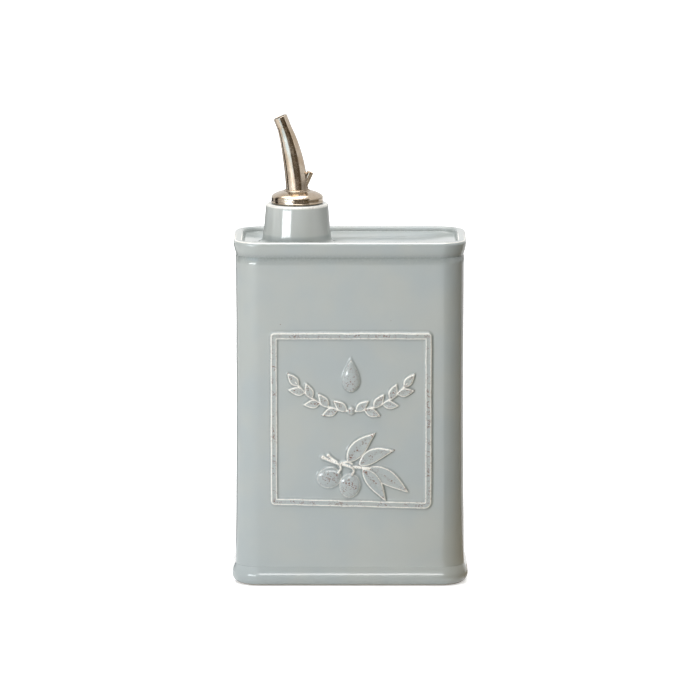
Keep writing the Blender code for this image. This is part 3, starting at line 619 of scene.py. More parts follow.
def make_can():
    """The skin's mesh with three marks at its points: how thin the glaze runs, with a painted
    highlight on the rim's crest; how deep it pools, with painted shade in the rim's groove; and how
    rubbed it is.
    """
    spots, facings = can_columns()
    rings, sharpness, outside_count = can_rings(spots, facings)
    row_count, column_count = rings.shape[:2]
    by_hand = (np.arange(row_count) < outside_count)[:, None]
    hollow = hand_hollow(rings[..., 0] + rings[..., 1], rings[..., 2]) * by_hand
    hollow = hollow * ease(*HAND_WAVE_FROM, rings[..., 2])
    rings[..., :2] -= np.broadcast_to(facings, (row_count, column_count, 2)) * hollow[..., None]
    left, right, low, high = plaque_window()
    first_column = 1
    first_row = int(np.argmin(np.abs(rings[:outside_count, 0, 2] - low)))
    x = np.linspace(left, right, CELL_COUNTS[0] * CELL_SPLITS + 1)
    z = np.linspace(low, high, CELL_COUNTS[1] * CELL_SPLITS + 1)
    x, z = np.meshgrid(x, z)
    wall_y = -HALF_DEPTH - wall_offset(z)
    wall_y = wall_y + hand_hollow(x + wall_y, z)
    y, rubbed, cream = model_plaque(x, z, wall_y)
    for _ in range(SOFTENINGS):
        y = soften(y)
    fold = -bend_of_surface(y, x[0, 1] - x[0, 0], z[1, 0] - z[0, 0])
    thin_grid = np.maximum(THIN_FOLD_SHARE * ease(*THIN_FOLDS, -fold), cream)
    pool_grid = ease(*POOL_FOLDS, fold)
    numbers = np.arange(row_count * column_count).reshape(row_count, column_count)
    grid = np.arange(x.size).reshape(x.shape) + numbers.size
    shared_rows = slice(first_row, first_row + CELL_COUNTS[1] + 1)
    shared_columns = slice(first_column, first_column + CELL_COUNTS[0] + 1)
    grid[::CELL_SPLITS, ::CELL_SPLITS] = numbers[shared_rows, shared_columns]
    front = np.column_stack((x.ravel(), y.ravel(), z.ravel()))
    places = np.concatenate((rings.reshape(-1, 3), front))
    places[grid.ravel()] = front
    thin_and_highlight_skin, pool_and_shade_skin = skin_marks(rings, sharpness, outside_count)
    marks = {
        "glaze_thin_and_highlight": (thin_and_highlight_skin, thin_grid),
        "glaze_pool_and_shade": (pool_and_shade_skin, pool_grid),
        "rubbed": (np.zeros(numbers.size), rubbed),
    }
    faces = skin_faces(numbers, grid, first_row, first_column)
    used = np.zeros(len(places), bool)
    for face in faces:
        used[list(face)] = True
    renumbered = np.cumsum(used) - 1
    mesh = bpy.data.meshes.new("can")
    faces = [tuple(renumbered[list(face)].tolist()) for face in faces]
    mesh.from_pydata(places[used].tolist(), [], faces)
    for name, (on_skin, on_grid) in marks.items():
        values = np.concatenate((on_skin, on_grid.ravel()))
        values[grid.ravel()] = on_grid.ravel()
        mark = mesh.attributes.new(name, "FLOAT", "POINT")
        mark.data.foreach_set("value", values[used].astype(np.float32))
    mesh.shade_smooth()
    return on_set("ceramic_can", mesh)


def on_set(name, data):
    """Puts data into the scene as an object."""
    made = bpy.data.objects.new(name, data)
    bpy.context.scene.collection.objects.link(made)
    return made


def soften(surface):
    """Rounds a height field as the melted glaze does, with its border left in place."""
    padded = np.pad(surface, 1, mode="edge")
    rows = (padded[:-2] + 2 * padded[1:-1] + padded[2:]) / 4
    both = (rows[:, :-2] + 2 * rows[:, 1:-1] + rows[:, 2:]) / 4
    both[[0, -1]] = surface[[0, -1]]
    both[:, [0, -1]] = surface[:, [0, -1]]
    return both


def bend_of_surface(surface, step_x, step_z):
    """How sharply a height field bends at each point, per millimetre."""
    padded = np.pad(surface, 1, mode="edge")
    across = (padded[1:-1, :-2] - 2 * surface + padded[1:-1, 2:]) / step_x**2
    up = (padded[:-2, 1:-1] - 2 * surface + padded[2:, 1:-1]) / step_z**2
    return (across + up) * MM


def new_material(name):
    """A new material, its node tree and its shader."""
    material = bpy.data.materials.new(name)
    material.use_nodes = True
    return material, material.node_tree, material.node_tree.nodes["Principled BSDF"]


def join(tree, made, inputs):
    """Fills a node's inputs, each with a value or with another node's output."""
    for name, value in inputs.items():
        if isinstance(value, bpy.types.NodeSocket):
            tree.links.new(value, made.inputs[name])
        else:
            made.inputs[name].default_value = value


def node(tree, kind, inputs=(), **settings):
    """Adds a node with its settings, and fills its inputs."""
    made = tree.nodes.new("ShaderNode" + kind)
    for name, value in settings.items():
        setattr(made, name, value)
    join(tree, made, dict(inputs))
    return made


def math_of(tree, operation, first, second):
    """The result of a reckoning with two values."""
    return node(tree, "Math", {0: first, 1: second}, operation=operation).outputs[0]


def times(tree, first, second):
    """Two values multiplied."""
    return math_of(tree, "MULTIPLY", first, second)


def sum_of(tree, total, *parts):
    """A value with other values added, each (value, share) by its share."""
    for value, share in parts:
        total = math_of(tree, "ADD", total, times(tree, value, share))
    return total


def band(tree, value, low, high, result=(0.0, 1.0)):
    """A value eased from one result to the other between two levels."""
    levels = {"From Min": low, "From Max": high, "To Min": result[0], "To Max": result[1]}
    made = node(tree, "MapRange", {"Value": value, **levels}, interpolation_type="SMOOTHSTEP")
    return made.outputs["Result"]


def blend_of(tree, share, first, second):
    """A colour between two colours."""
    colours = {"Factor": share, 6: first, 7: second}
    return node(tree, "Mix", colours, data_type="RGBA").outputs[2]


def noise_of(tree, place, scale, detail=2.0, roughness=0.5, distortion=0.0):
    """Smooth noise read at a place, from 0 to 1."""
    inputs = {"Vector": place, "Scale": scale, "Detail": detail, "Roughness": roughness}
    return node(tree, "TexNoise", {**inputs, "Distortion": distortion}).outputs["Fac"]


def mark_of(tree, name):
    """One of the marks kept at a mesh's points."""
    return node(tree, "Attribute", attribute_name=name).outputs["Fac"]


def bump_of(tree, height, strength, distance):
    """The shading of a fine relief."""
    inputs = {"Height": height, "Strength": strength, "Distance": distance}
    return node(tree, "Bump", inputs).outputs["Normal"]


def new_group(name, inputs, output):
    """An empty node group with the sockets named, and its input and output nodes' sockets."""
    group = bpy.data.node_groups.new(name, "ShaderNodeTree")
    sockets = [("INPUT", *socket) for socket in inputs] + [("OUTPUT", output, "Float")]
    for side, socket_name, kind in sockets:
        socket_type = "NodeSocket" + kind
        group.interface.new_socket(name=socket_name, in_out=side, socket_type=socket_type)
    given = group.nodes.new("NodeGroupInput").outputs
    return group, given, group.nodes.new("NodeGroupOutput").inputs


def make_handling_marks():
    """Smears left by hands and cloths, 0 to 1: broad patches with fainter streaks inside them."""
    inputs = (("Place", "Vector"), ("Scale", "Float"))
    group, given, result = new_group("handling_marks", inputs, "Smear")
    broad = noise_of(group, given["Place"], given["Scale"], 3.0)
    finer = times(group, given["Scale"], 5.0)
    streaks = noise_of(group, given["Place"], finer, 4.0, distortion=1.2)
    patch = band(group, broad, 0.42, 0.66)
    streak = band(group, streaks, 0.40, 0.70, (0.35, 1.0))
    group.links.new(times(group, patch, streak), result["Smear"])
    return group


handling_marks = make_handling_marks()


def smears_of(tree, place, scale):
    """The smears of the shared group, read at a place."""
    inputs = {"Place": place, "Scale": scale}
    return node(tree, "Group", inputs, node_tree=handling_marks).outputs["Smear"]


GLAZE_BLUE = (0.372, 0.408, 0.408, 1)
GLAZE_WARM = (0.402, 0.424, 0.404, 1)
# Deeper glaze where it pools; also painted shade in the groove under the rim.
GLAZE_POOLED_AND_SHADE = (0.235, 0.262, 0.250, 1)
# Cream where the glaze breaks; also a painted highlight on the rim's crest and painted light on the
# neck.
GLAZE_BROKEN_AND_PAINTED_LIGHT = (0.80, 0.78, 0.72, 1)
IRON_SPECK = (0.17, 0.062, 0.034, 1)
BARE_CLAY = (0.60, 0.53, 0.44, 1)
# Painted light: how far the neck is blended toward cream, so it reads as better lit than the wall.
NECK_PAINTED_LIGHT = 0.22
DRIFT_SCALE = 24.0
CLOUD_SCALE = 95.0
GRIT_SCALE = 1150.0
SPECK_SCALE = 1350.0
CLUSTER_SCALE = 300.0
PIN_SCALE = 150.0
PEEL_SCALE = 230.0
GLAZE_SMEAR_SCALE = 30.0
CLAY_HEIGHTS = (0.0005, 0.0011)
GLAZE_ROUGHNESS = 0.04
SMEAR_ROUGHNESS = 0.05
BROKEN_ROUGHNESS = 0.16
CLAY_ROUGHNESS = 0.7


def make_glaze():
    """Grey-blue glaze: deeper where it pools, cream where it thins at an edge, with iron specks;
    with painted shade in the rim's groove, a painted highlight on its crest and painted light on
    the neck.
    """
    material, tree, shader = new_material("grey_blue_glaze")
    place = node(tree, "TexCoord").outputs["Object"]
    thin, pool_and_shade = mark_of(tree, "glaze_thin_and_highlight"), mark_of(tree, "glaze_pool_and_shade")
    rubbed = mark_of(tree, "rubbed")
    height = node(tree, "SeparateXYZ", {"Vector": place}).outputs["Z"]
    drift = noise_of(tree, place, DRIFT_SCALE)
    cloud = noise_of(tree, place, CLOUD_SCALE, 3.0)
    grit = noise_of(tree, place, GRIT_SCALE, 3.0, 0.6)
    dust = noise_of(tree, place, SPECK_SCALE, 2.0, 0.6)
    tone = sum_of(tree, times(tree, drift, 0.75), (cloud, 0.25))
    colour = blend_of(tree, band(tree, tone, 0.36, 0.64), GLAZE_BLUE, GLAZE_WARM)
    # Painted shade: the pool mark also holds the band in the groove under the rim, so this deeper
    # colour there is painted shade.
    pool_and_shade_share = times(tree, pool_and_shade, band(tree, grit, 0.25, 0.6, (0.5, 0.85)))
    colour = blend_of(tree, pool_and_shade_share, colour, GLAZE_POOLED_AND_SHADE)
    # Painted light: above the rim the neck's glaze is blended toward cream, as if better lit than
    # the wall.
    neck_light_share = band(tree, height, RIM_TOP, RIM_TOP + NECK_EDGE_ROUND, (0.0, NECK_PAINTED_LIGHT))
    colour = blend_of(tree, neck_light_share, colour, GLAZE_BROKEN_AND_PAINTED_LIGHT)
    # The thin mark also holds the rim's crest, where this cream is partly a painted highlight.
    ragged = sum_of(tree, thin, (math_of(tree, "SUBTRACT", grit, 0.5), 0.4))
    broken_and_highlight = band(tree, ragged, 0.34, 0.74)
    colour = blend_of(tree, broken_and_highlight, colour, GLAZE_BROKEN_AND_PAINTED_LIGHT)
    near_edge = band(tree, ragged, 0.12, 0.45, (0.0, 0.55))
    beside_edge = times(tree, near_edge, math_of(tree, "SUBTRACT", 1.0, broken_and_highlight))
    speck_room = math_of(tree, "MAXIMUM", rubbed, beside_edge)
    clusters = band(tree, noise_of(tree, place, CLUSTER_SCALE, 1.0), 0.40, 0.60, (0.15, 1.0))
    specks = times(tree, band(tree, dust, 0.525, 0.59), times(tree, speck_room, clusters))
    colour = blend_of(tree, specks, colour, IRON_SPECK)
    pins = node(tree, "TexVoronoi", {"Vector": place, "Scale": PIN_SCALE}).outputs
    pin_chance = node(tree, "SeparateColor", {"Color": pins["Color"]}).outputs["Red"]
    pin_size = band(tree, pins["Distance"], 0.03, 0.055, (1.0, 0.0))
    pin = times(tree, pin_size, band(tree, pin_chance, 0.90, 0.93))
    colour = blend_of(tree, times(tree, pin, 0.7), colour, IRON_SPECK)
    clay = band(tree, height, *CLAY_HEIGHTS, (1.0, 0.0))
    smears = (smears_of(tree, place, GLAZE_SMEAR_SCALE), SMEAR_ROUGHNESS)
    rough_marks = (math_of(tree, "MAXIMUM", broken_and_highlight, specks), BROKEN_ROUGHNESS)
    peel = noise_of(tree, place, PEEL_SCALE, 1.0)
    relief = sum_of(tree, times(tree, peel, 0.5), (grit, 0.04), (pin, -0.5))
    gloss = sum_of(tree, GLAZE_ROUGHNESS, smears, rough_marks, (clay, CLAY_ROUGHNESS))
    join(tree, shader, {
        "Base Color": blend_of(tree, clay, colour, BARE_CLAY),
        "Roughness": gloss,
        "Normal": bump_of(tree, relief, 0.5, 0.00008),
        "IOR": 1.52,
    })
    return material


ceramic_can = make_can()
ceramic_can.data.materials.append(make_glaze())
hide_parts("can_body")
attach(ceramic_can, "can")


# The stopper
# Soft off-white plastic, moulded with a lip that sits on the neck and fins that grip its bore. It
# is pushed onto the shank and holds the metal in the neck.

STOPPER_LENGTH = 0.0170
STOPPER_CORE_RADIUS = 0.0081
STOPPER_LIP_RADIUS = 0.0116
STOPPER_LIP_THICKNESS = 0.0008
FIN_COUNT = 4
FIN_TIP_THICKNESS = 0.0010
FIN_ROOT_THICKNESS = 0.0024
FIT_GAP = 0.0003
SHANK_RADIUS = 0.0043
TURN_COLUMNS = 96
GRAIN_ROUND = 0.0002

STOPPER_TOP = NECK_TOP + FIT_GAP + STOPPER_LIP_THICKNESS
STOPPER_BOTTOM = NECK_TOP - STOPPER_LENGTH


def rounded(corners, steps=4):
    """A closed profile with a small round at each (radius, height, round), held on both sides."""
    points = []
    for index, (*here, size) in enumerate(corners):
        here = np.array(here)
        before = np.array(corners[index - 1][:2]) - here
        after = np.array(corners[(index + 1) % len(corners)][:2]) - here
        back, on = before / np.hypot(*before) * size, after / np.hypot(*after) * size
        points.append(tuple(here + back * 1.5))
        for along in np.linspace(0, 1, steps + 1):
            points.append(tuple(here + back * (1 - along) ** 2 + on * along**2))
        points.append(tuple(here + on * 1.5))
    return points


def new_piece(name, places, faces, grain):
    """A smooth-shaded mesh piece. Its grain says, at each point, where its marks are read."""
    mesh = bpy.data.meshes.new(name)
    faces = [tuple(int(spot) for spot in face) for face in faces]
    mesh.from_pydata([tuple(place) for place in places], [], faces)
    kept_grain = mesh.attributes.new("grain", "FLOAT_VECTOR", "POINT")
    kept_grain.data.foreach_set("vector", np.array(grain, np.float32).ravel())
    mesh.shade_smooth()
    return on_set(name, mesh)


def turns_round(count):
    """Even turns round a circle."""
    return np.linspace(0, 2 * math.pi, count, endpoint=False)


def ring_faces(row_count, column_count, closed_rows):
    """Quads over rings of points. With closed rows the last ring meets the first."""
    faces = []
    for row in range(row_count if closed_rows else row_count - 1):
        here, above = row * column_count, (row + 1) % row_count * column_count
        for column in range(column_count):
            after = (column + 1) % column_count
            faces.append((here + column, here + after, above + after, above + column))
    return faces


def turned(name, profile):
    """A piece turned round the neck's axis from a closed profile that runs down its outside."""
    spin = turns_round(TURN_COLUMNS)
    places, grain = [], []
    for radius, height in reversed(profile):
        for turn in spin:
            places.append((NECK_X + radius * math.cos(turn), radius * math.sin(turn), height))
            grain.append((radius, height, GRAIN_ROUND * math.cos(turn)))
    return new_piece(name, places, ring_faces(len(profile), TURN_COLUMNS, True), grain)


def stopper_profile():
    """Down the outside over the lip and the drooping fins, then up the bore."""
    bore = SHANK_RADIUS + FIT_GAP
    lip_bottom = NECK_TOP + FIT_GAP
    fin_radius = NECK_BORE_RADIUS - FIT_GAP
    first_root = NECK_TOP - NECK_MOUTH_ROUND - FIT_GAP
    pitch = (first_root - STOPPER_BOTTOM) / FIN_COUNT
    corners = [
        (STOPPER_LIP_RADIUS, STOPPER_TOP, 0.0003),
        (STOPPER_LIP_RADIUS, lip_bottom, 0.0003),
        (STOPPER_CORE_RADIUS, lip_bottom, 0.0003),
    ]
    for fin in range(FIN_COUNT):
        root = first_root - fin * pitch
        tip_top = root - (FIN_ROOT_THICKNESS - FIN_TIP_THICKNESS) * 0.3
        corners += [
            (STOPPER_CORE_RADIUS, root, 0.0004),
            (fin_radius, tip_top, 0.0003),
            (fin_radius, tip_top - FIN_TIP_THICKNESS, 0.0003),
            (STOPPER_CORE_RADIUS, root - FIN_ROOT_THICKNESS, 0.0004),
        ]
    corners += [(STOPPER_CORE_RADIUS, STOPPER_BOTTOM, 0.0005), (bore, STOPPER_BOTTOM, 0.0002)]
    return rounded(corners + [(bore, STOPPER_TOP, 0.0002)])


PLASTIC_PALE = (0.66, 0.63, 0.55, 1)
PLASTIC_STAINED = (0.56, 0.48, 0.33, 1)
PLASTIC_ROUGHNESS = 0.52
STAIN_SCALE = 160.0
SKIN_SCALE = 2600.0
PLASTIC_SMEAR_SCALE = 90.0
PLASTIC_LIGHT_DEPTHS = (0.0012, 0.0009, 0.0006)


def make_plastic():
    """Off-white soft plastic, a little stained by oil, with a fine moulded skin."""
    material, tree, shader = new_material("stopper_plastic")
    place = node(tree, "TexCoord").outputs["Object"]
    stain = band(tree, noise_of(tree, place, STAIN_SCALE, 3.0), 0.42, 0.68)
    skin = noise_of(tree, place, SKIN_SCALE, 2.0)
    smears = smears_of(tree, place, PLASTIC_SMEAR_SCALE)
    join(tree, shader, {
        "Base Color": blend_of(tree, stain, PLASTIC_PALE, PLASTIC_STAINED),
        "Roughness": sum_of(tree, PLASTIC_ROUGHNESS, (smears, -0.14)),
        "Normal": bump_of(tree, skin, 0.4, 0.00004),
        "IOR": 1.49,
        "Subsurface Weight": 0.15,
        "Subsurface Radius": PLASTIC_LIGHT_DEPTHS,
    })
    return material


stopper_piece = turned("push_in_stopper", stopper_profile())
stopper_piece.data.materials.append(make_plastic())
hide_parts("stopper")
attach(stopper_piece, "stopper")


# The shank
# A drawn steel tube, straight down through the stopper. Its lower end is flared over the washer,
# and its upper end is brazed into the collar.

SHANK_WALL = 0.0006
SHANK_FLARE = 0.0010
SHANK_FLARE_HEIGHT = 0.0006
SHANK_ENGAGEMENT = 0.0020
WASHER_THICKNESS = 0.0010

POURER_SEAT = STOPPER_TOP + FIT_GAP
WASHER_TOP = STOPPER_BOTTOM - FIT_GAP
SHANK_BOTTOM = WASHER_TOP - WASHER_THICKNESS - FIT_GAP - SHANK_FLARE_HEIGHT

shank_bore = SHANK_RADIUS - SHANK_WALL
shank_flare = SHANK_RADIUS + SHANK_FLARE
flare_top = SHANK_BOTTOM + SHANK_FLARE_HEIGHT
shank_corners = [
    (SHANK_RADIUS, POURER_SEAT + SHANK_ENGAGEMENT, 0.00015),
    (SHANK_RADIUS, flare_top, 0.0002),
    (shank_flare, flare_top, 0.0002),
    (shank_flare, SHANK_BOTTOM, 0.00025),
    (shank_bore, SHANK_BOTTOM, 0.0005),
    (shank_bore, POURER_SEAT + SHANK_ENGAGEMENT, 0.00015),
]


def make_draw_marks():
    """Fine lines left by the drawing die, the spinning tool or the stamp, 0 to 1, on the grain."""
    inputs = (("Grain", "Vector"), ("Fineness", "Float"))
    group, given, result = new_group("draw_marks", inputs, "Marks")
    lines = noise_of(group, given["Grain"], given["Fineness"], 5.0)
    bands = noise_of(group, given["Grain"], times(group, given["Fineness"], 0.22), 2.0)
    both = math_of(group, "ADD", lines, bands)
    group.links.new(band(group, both, 0.75, 1.25), result["Marks"])
    return group


draw_marks = make_draw_marks()


def marks_of(tree, fineness):
    """The draw marks of the shared group, read along a piece's own grain."""
    grain = node(tree, "Attribute", attribute_name="grain").outputs["Vector"]
    inputs = {"Grain": grain, "Fineness": fineness}
    return node(tree, "Group", inputs, node_tree=draw_marks).outputs["Marks"]


DULL_GREY = (0.50, 0.48, 0.45, 1)
DULL_BROWN = (0.40, 0.33, 0.25, 1)
DULL_ROUGHNESS = 0.30
DULL_FINENESS = 9000.0
DULL_FILM_SCALE = 150.0


def make_dull_steel():
    """Plain steel as the mill left it, dulled and browned where oil has dried on it."""
    material, tree, shader = new_material("dull_steel")
    place = node(tree, "TexCoord").outputs["Object"]
    marks = marks_of(tree, DULL_FINENESS)
    film = smears_of(tree, place, DULL_FILM_SCALE)
    browned = sum_of(tree, times(tree, film, 0.8), (marks, 0.2))
    join(tree, shader, {
        "Base Color": blend_of(tree, browned, DULL_GREY, DULL_BROWN),
        "Roughness": sum_of(tree, DULL_ROUGHNESS, (marks, 0.14), (film, 0.16)),
        "Normal": bump_of(tree, marks, 0.35, 0.00001),
        "Metallic": 1.0,
    })
    return material


dull_steel = make_dull_steel()
shank_piece = turned("flared_shank", rounded(shank_corners))
shank_piece.data.materials.append(dull_steel)
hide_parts("shank_tube")
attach(shank_piece, "spout")


# The washer
# Stamped from steel sheet, with one edge rounded by the die. The shank's flare holds it against the
# bottom of the stopper.

WASHER_RADIUS = 0.0066

washer_bottom = WASHER_TOP - WASHER_THICKNESS
washer_hole = SHANK_RADIUS + FIT_GAP
washer_corners = [
    (WASHER_RADIUS, WASHER_TOP, 0.0001),
    (WASHER_RADIUS, washer_bottom, 0.00035),
    (washer_hole, washer_bottom, 0.0003),
    (washer_hole, WASHER_TOP, 0.0001),
]
washer_piece = turned("stamped_washer", rounded(washer_corners))
washer_piece.data.materials.append(dull_steel)
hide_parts("retaining_washer")
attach(washer_piece, "spout")


# The collar
# A dome spun from sheet steel, with a rolled root for the spout, a full round shoulder, an upright
# skirt that hides the stopper's lip, and a lip rolled out at its lower edge. It is plated, and has
# tarnished.

COLLAR_RADIUS = 0.0128
COLLAR_SHEET = 0.0009
COLLAR_SKIRT = 0.0027
COLLAR_DOME_RISE = 0.0033
COLLAR_DOME_SHARE = 0.6
COLLAR_ROOT_RISE = 0.0004
COLLAR_ROOT_FLARE = 0.0006
COLLAR_ROLL = 0.00042
COLLAR_LIP = 0.0004
SPOUT_ROOT_RADIUS = 0.0053


def collar_profile():
    """Down the outside of the root and dome, over the skirt and its lip, then up the inside."""
    hole = SPOUT_ROOT_RADIUS + FIT_GAP
    bottom = NECK_TOP + FIT_GAP
    skirt_top = bottom + COLLAR_SKIRT
    dome_top = skirt_top + COLLAR_DOME_RISE
    skirt = COLLAR_RADIUS - COLLAR_LIP / 2
    roll_centre = (hole + COLLAR_ROLL, dome_top + COLLAR_ROOT_RISE - COLLAR_ROLL)
    dome_start = (hole + COLLAR_SHEET + COLLAR_ROOT_FLARE, dome_top - COLLAR_ROLL / 2)
    profile = arc(roll_centre, COLLAR_ROLL, 180, -35, 10)
    profile += sweep(dome_start, (skirt, skirt_top), (0, COLLAR_DOME_SHARE), 18)
    skirt_heights = np.linspace(skirt_top, bottom + 2.3 * COLLAR_LIP, 4)
    profile += [(skirt, height) for height in skirt_heights[1:]]
    profile += arc((COLLAR_RADIUS - COLLAR_LIP, bottom + COLLAR_LIP), COLLAR_LIP, 55, -90, 9)
    inner = COLLAR_RADIUS - COLLAR_SHEET
    profile += [(inner + 0.0001, bottom), (inner, bottom + 0.0001)]
    under = dome_top - COLLAR_SHEET
    inner_dome = sweep((dome_start[0], under), (inner, skirt_top), (0, COLLAR_DOME_SHARE), 8)
    return profile + inner_dome[::-1] + [(hole, under)]


PLATING = (0.52, 0.44, 0.35, 1)
PLATING_WARM = (0.43, 0.335, 0.24, 1)
TARNISH = (0.10, 0.07, 0.05, 1)
PLATING_ROUGHNESS = 0.10
PLATING_FINENESS = 5200.0
PLATING_FILM_SCALE = 210.0
MOTTLE_SCALE = 900.0
WARM_SCALE = 130.0
PIT_SCALE = 1900.0


def make_plated_steel():
    """Bright plating gone warm with handling, with draw marks, pale film and small dark pits."""
    material, tree, shader = new_material("plated_steel")
    place = node(tree, "TexCoord").outputs["Object"]
    marks = marks_of(tree, PLATING_FINENESS)
    film = smears_of(tree, place, PLATING_FILM_SCALE)
    mottle = noise_of(tree, place, MOTTLE_SCALE, 3.0, 0.6)
    warm = band(tree, noise_of(tree, place, WARM_SCALE, 2.0), 0.36, 0.62)
    colour = blend_of(tree, times(tree, warm, 0.8), PLATING, PLATING_WARM)
    pits = band(tree, noise_of(tree, place, PIT_SCALE, 2.0, 0.6), 0.56, 0.64)
    worn = times(tree, pits, band(tree, mottle, 0.45, 0.62))
    dents = sum_of(tree, times(tree, marks, 0.25), (mottle, 0.5), (worn, -0.6))
    gloss = sum_of(tree, PLATING_ROUGHNESS, (marks, 0.06), (film, 0.12), (worn, 0.3))
    join(tree, shader, {
        "Base Color": blend_of(tree, times(tree, worn, 0.8), colour, TARNISH),
        "Roughness": gloss,
        "Normal": bump_of(tree, dents, 0.3, 0.00003),
        "Metallic": 1.0,
    })
    return material


plated_steel = make_plated_steel()
collar_piece = turned("domed_collar", collar_profile())
collar_piece.data.materials.append(plated_steel)
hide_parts("collar")
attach(collar_piece, "spout")


# The spout
# Drawn steel tube, tapered, bent over a former and cut square, with the sharp edge taken off. It is
# drilled for the air pipe, and a bead of solder runs round the hole.

SPOUT_TIP_RADIUS = 0.00345
SPOUT_WALL = 0.0007
SPOUT_BEND_RADIUS = 0.105
SPOUT_BEND_DEGREES = 23
SPOUT_PLAIN_ROOT = 0.0074
SPOUT_PLAIN_TIP = 0.0060
SPOUT_COLUMNS = 72
SPOUT_EDGE = 0.0002
SPOUT_FILED = 0.00005
GRAIN_PULL = 0.03
PIPE_RADIUS = 0.0016
PIPE_WALL = 0.0005
PIPE_OFFSET = 0.0016
PIPE_BEND_HEIGHT = 0.0006
PIPE_BEND_RADIUS = 0.0100
PIPE_BEND_DEGREES = 24
PIPE_SLANT_LENGTH = 0.0100
DRILL_REACH = 0.002
SOLDER_RADIUS = 0.0003
SOLDER_SEARCH = 0.03
SOLDER_HALVINGS = 30
SHARP_DEGREES = 50

SPOUT_LENGTH = SPOUT_BEND_RADIUS * math.radians(SPOUT_BEND_DEGREES)


def spout_radius(along):
    """The spout's outer radius at a length from its seat."""
    taper = SPOUT_LENGTH - SPOUT_PLAIN_ROOT - SPOUT_PLAIN_TIP
    share = np.clip((along - SPOUT_PLAIN_ROOT) / taper, 0, 1)
    return SPOUT_ROOT_RADIUS + (SPOUT_TIP_RADIUS - SPOUT_ROOT_RADIUS) * share**2


def in_bend(places):
    """Each place's length up the spout, and how far it lies right of its middle and behind it."""
    beside = places[:, 0] - NECK_X + SPOUT_BEND_RADIUS
    above = places[:, 2] - POURER_SEAT
    along = np.arctan2(above, beside) * SPOUT_BEND_RADIUS
    return along, np.hypot(beside, above) - SPOUT_BEND_RADIUS, places[:, 1]


def on_bend(along, right, behind):
    """The place at a length up the spout, to the right of its middle and behind it."""
    turn = along / SPOUT_BEND_RADIUS
    reach = SPOUT_BEND_RADIUS + right
    x = NECK_X - SPOUT_BEND_RADIUS + reach * math.cos(turn)
    return x, behind, POURER_SEAT + reach * math.sin(turn)


def spout_rings():
    """(length, radius) pairs up the outside, over the rounded end and back down the bore."""
    edge = SPOUT_EDGE
    top = SPOUT_LENGTH - SPOUT_FILED
    lengths = np.linspace(0, top - 1.6 * edge, 40)
    outside = [(along, float(spout_radius(along))) for along in lengths]
    inside = [(along, radius - SPOUT_WALL) for along, radius in reversed(outside)]
    tip, bore = outside[-1][1] - edge, inside[0][1] + edge
    turns = np.radians((0, 30, 60, 90))
    end = [(top - edge + edge * math.sin(turn), tip + edge * math.cos(turn)) for turn in turns]
    end += [(along, bore + tip - radius) for along, radius in reversed(end)]
    return outside + end + inside


def make_spout():
    """The plain bent tube, before it is drilled."""
    rings = spout_rings()
    places = []
    for along, radius in rings:
        for turn in turns_round(SPOUT_COLUMNS):
            places.append(on_bend(along, radius * math.cos(turn), radius * math.sin(turn)))
    faces = ring_faces(len(rings), SPOUT_COLUMNS, True)
    return new_piece("bent_spout", places, faces, np.zeros((len(places), 3)))


def on_pipe_bend(degrees):
    """The place and the direction of the air pipe's middle at a turn of its bend."""
    turn = math.radians(degrees)
    right = PIPE_OFFSET + PIPE_BEND_RADIUS * (1 - math.cos(turn))
    height = POURER_SEAT + PIPE_BEND_HEIGHT + PIPE_BEND_RADIUS * math.sin(turn)
    return Vector((NECK_X + right, 0, height)), Vector((math.sin(turn), 0, math.cos(turn)))


def circle_across(direction, radius, columns):
    """Offsets round a circle that faces along a direction in the XZ plane."""
    aside, behind = Vector((direction.z, 0, -direction.x)), Vector((0, 1, 0))
    spokes = [aside * math.cos(turn) + behind * math.sin(turn) for turn in turns_round(columns)]
    return [spoke * radius for spoke in spokes]


def round_pipe(radius, start, end, columns):
    """Two rings of points round the air pipe's slanted line, at lengths past its bend."""
    foot, slant = on_pipe_bend(PIPE_BEND_DEGREES)
    circle = circle_across(slant, radius, columns)
    return [tuple(foot + slant * along + offset) for along in (start, end) for offset in circle]


def drill_spout(spout):
    """Cuts the hole for the air pipe through the spout's wall."""
    columns = 48
    end = PIPE_SLANT_LENGTH + DRILL_REACH
    rings = round_pipe(PIPE_RADIUS + FIT_GAP, -DRILL_REACH, end, columns)
    faces = [face[::-1] for face in ring_faces(2, columns, False)]
    faces += [tuple(range(columns)), tuple(range(2 * columns - 1, columns - 1, -1))]
    drill = new_piece("drill", rings, faces, np.zeros((2 * columns, 3)))
    cut = spout.modifiers.new("hole", "BOOLEAN")
    cut.operation = "DIFFERENCE"
    cut.solver = "EXACT"
    cut.object = drill
    bpy.context.view_layer.update()
    evaluated = spout.evaluated_get(bpy.context.evaluated_depsgraph_get())
    mesh = bpy.data.meshes.new_from_object(evaluated)
    spout.modifiers.clear()
    spout.data = mesh
    bpy.data.objects.remove(drill, do_unlink=True)


def solder_line(columns):
    """Where a pipe a little thicker than the air pipe comes out through the spout's outside."""
    rings = np.array(round_pipe(PIPE_RADIUS + 1.15 * SOLDER_RADIUS, 0, 1, columns))
    line = []
    for low, high in zip(rings[:columns], rings[columns:]):
        inner, outer = 0.0, SOLDER_SEARCH
        # Halving the stretch again and again finds where the line leaves the tube.
        for _ in range(SOLDER_HALVINGS):
            middle = (inner + outer) / 2
            along, right, behind = in_bend((low + (high - low) * middle)[None, :])
            if math.hypot(right[0], behind[0]) < spout_radius(along[0]):
                inner = middle
            else:
                outer = middle
        line.append(low + (high - low) * inner)
    return line


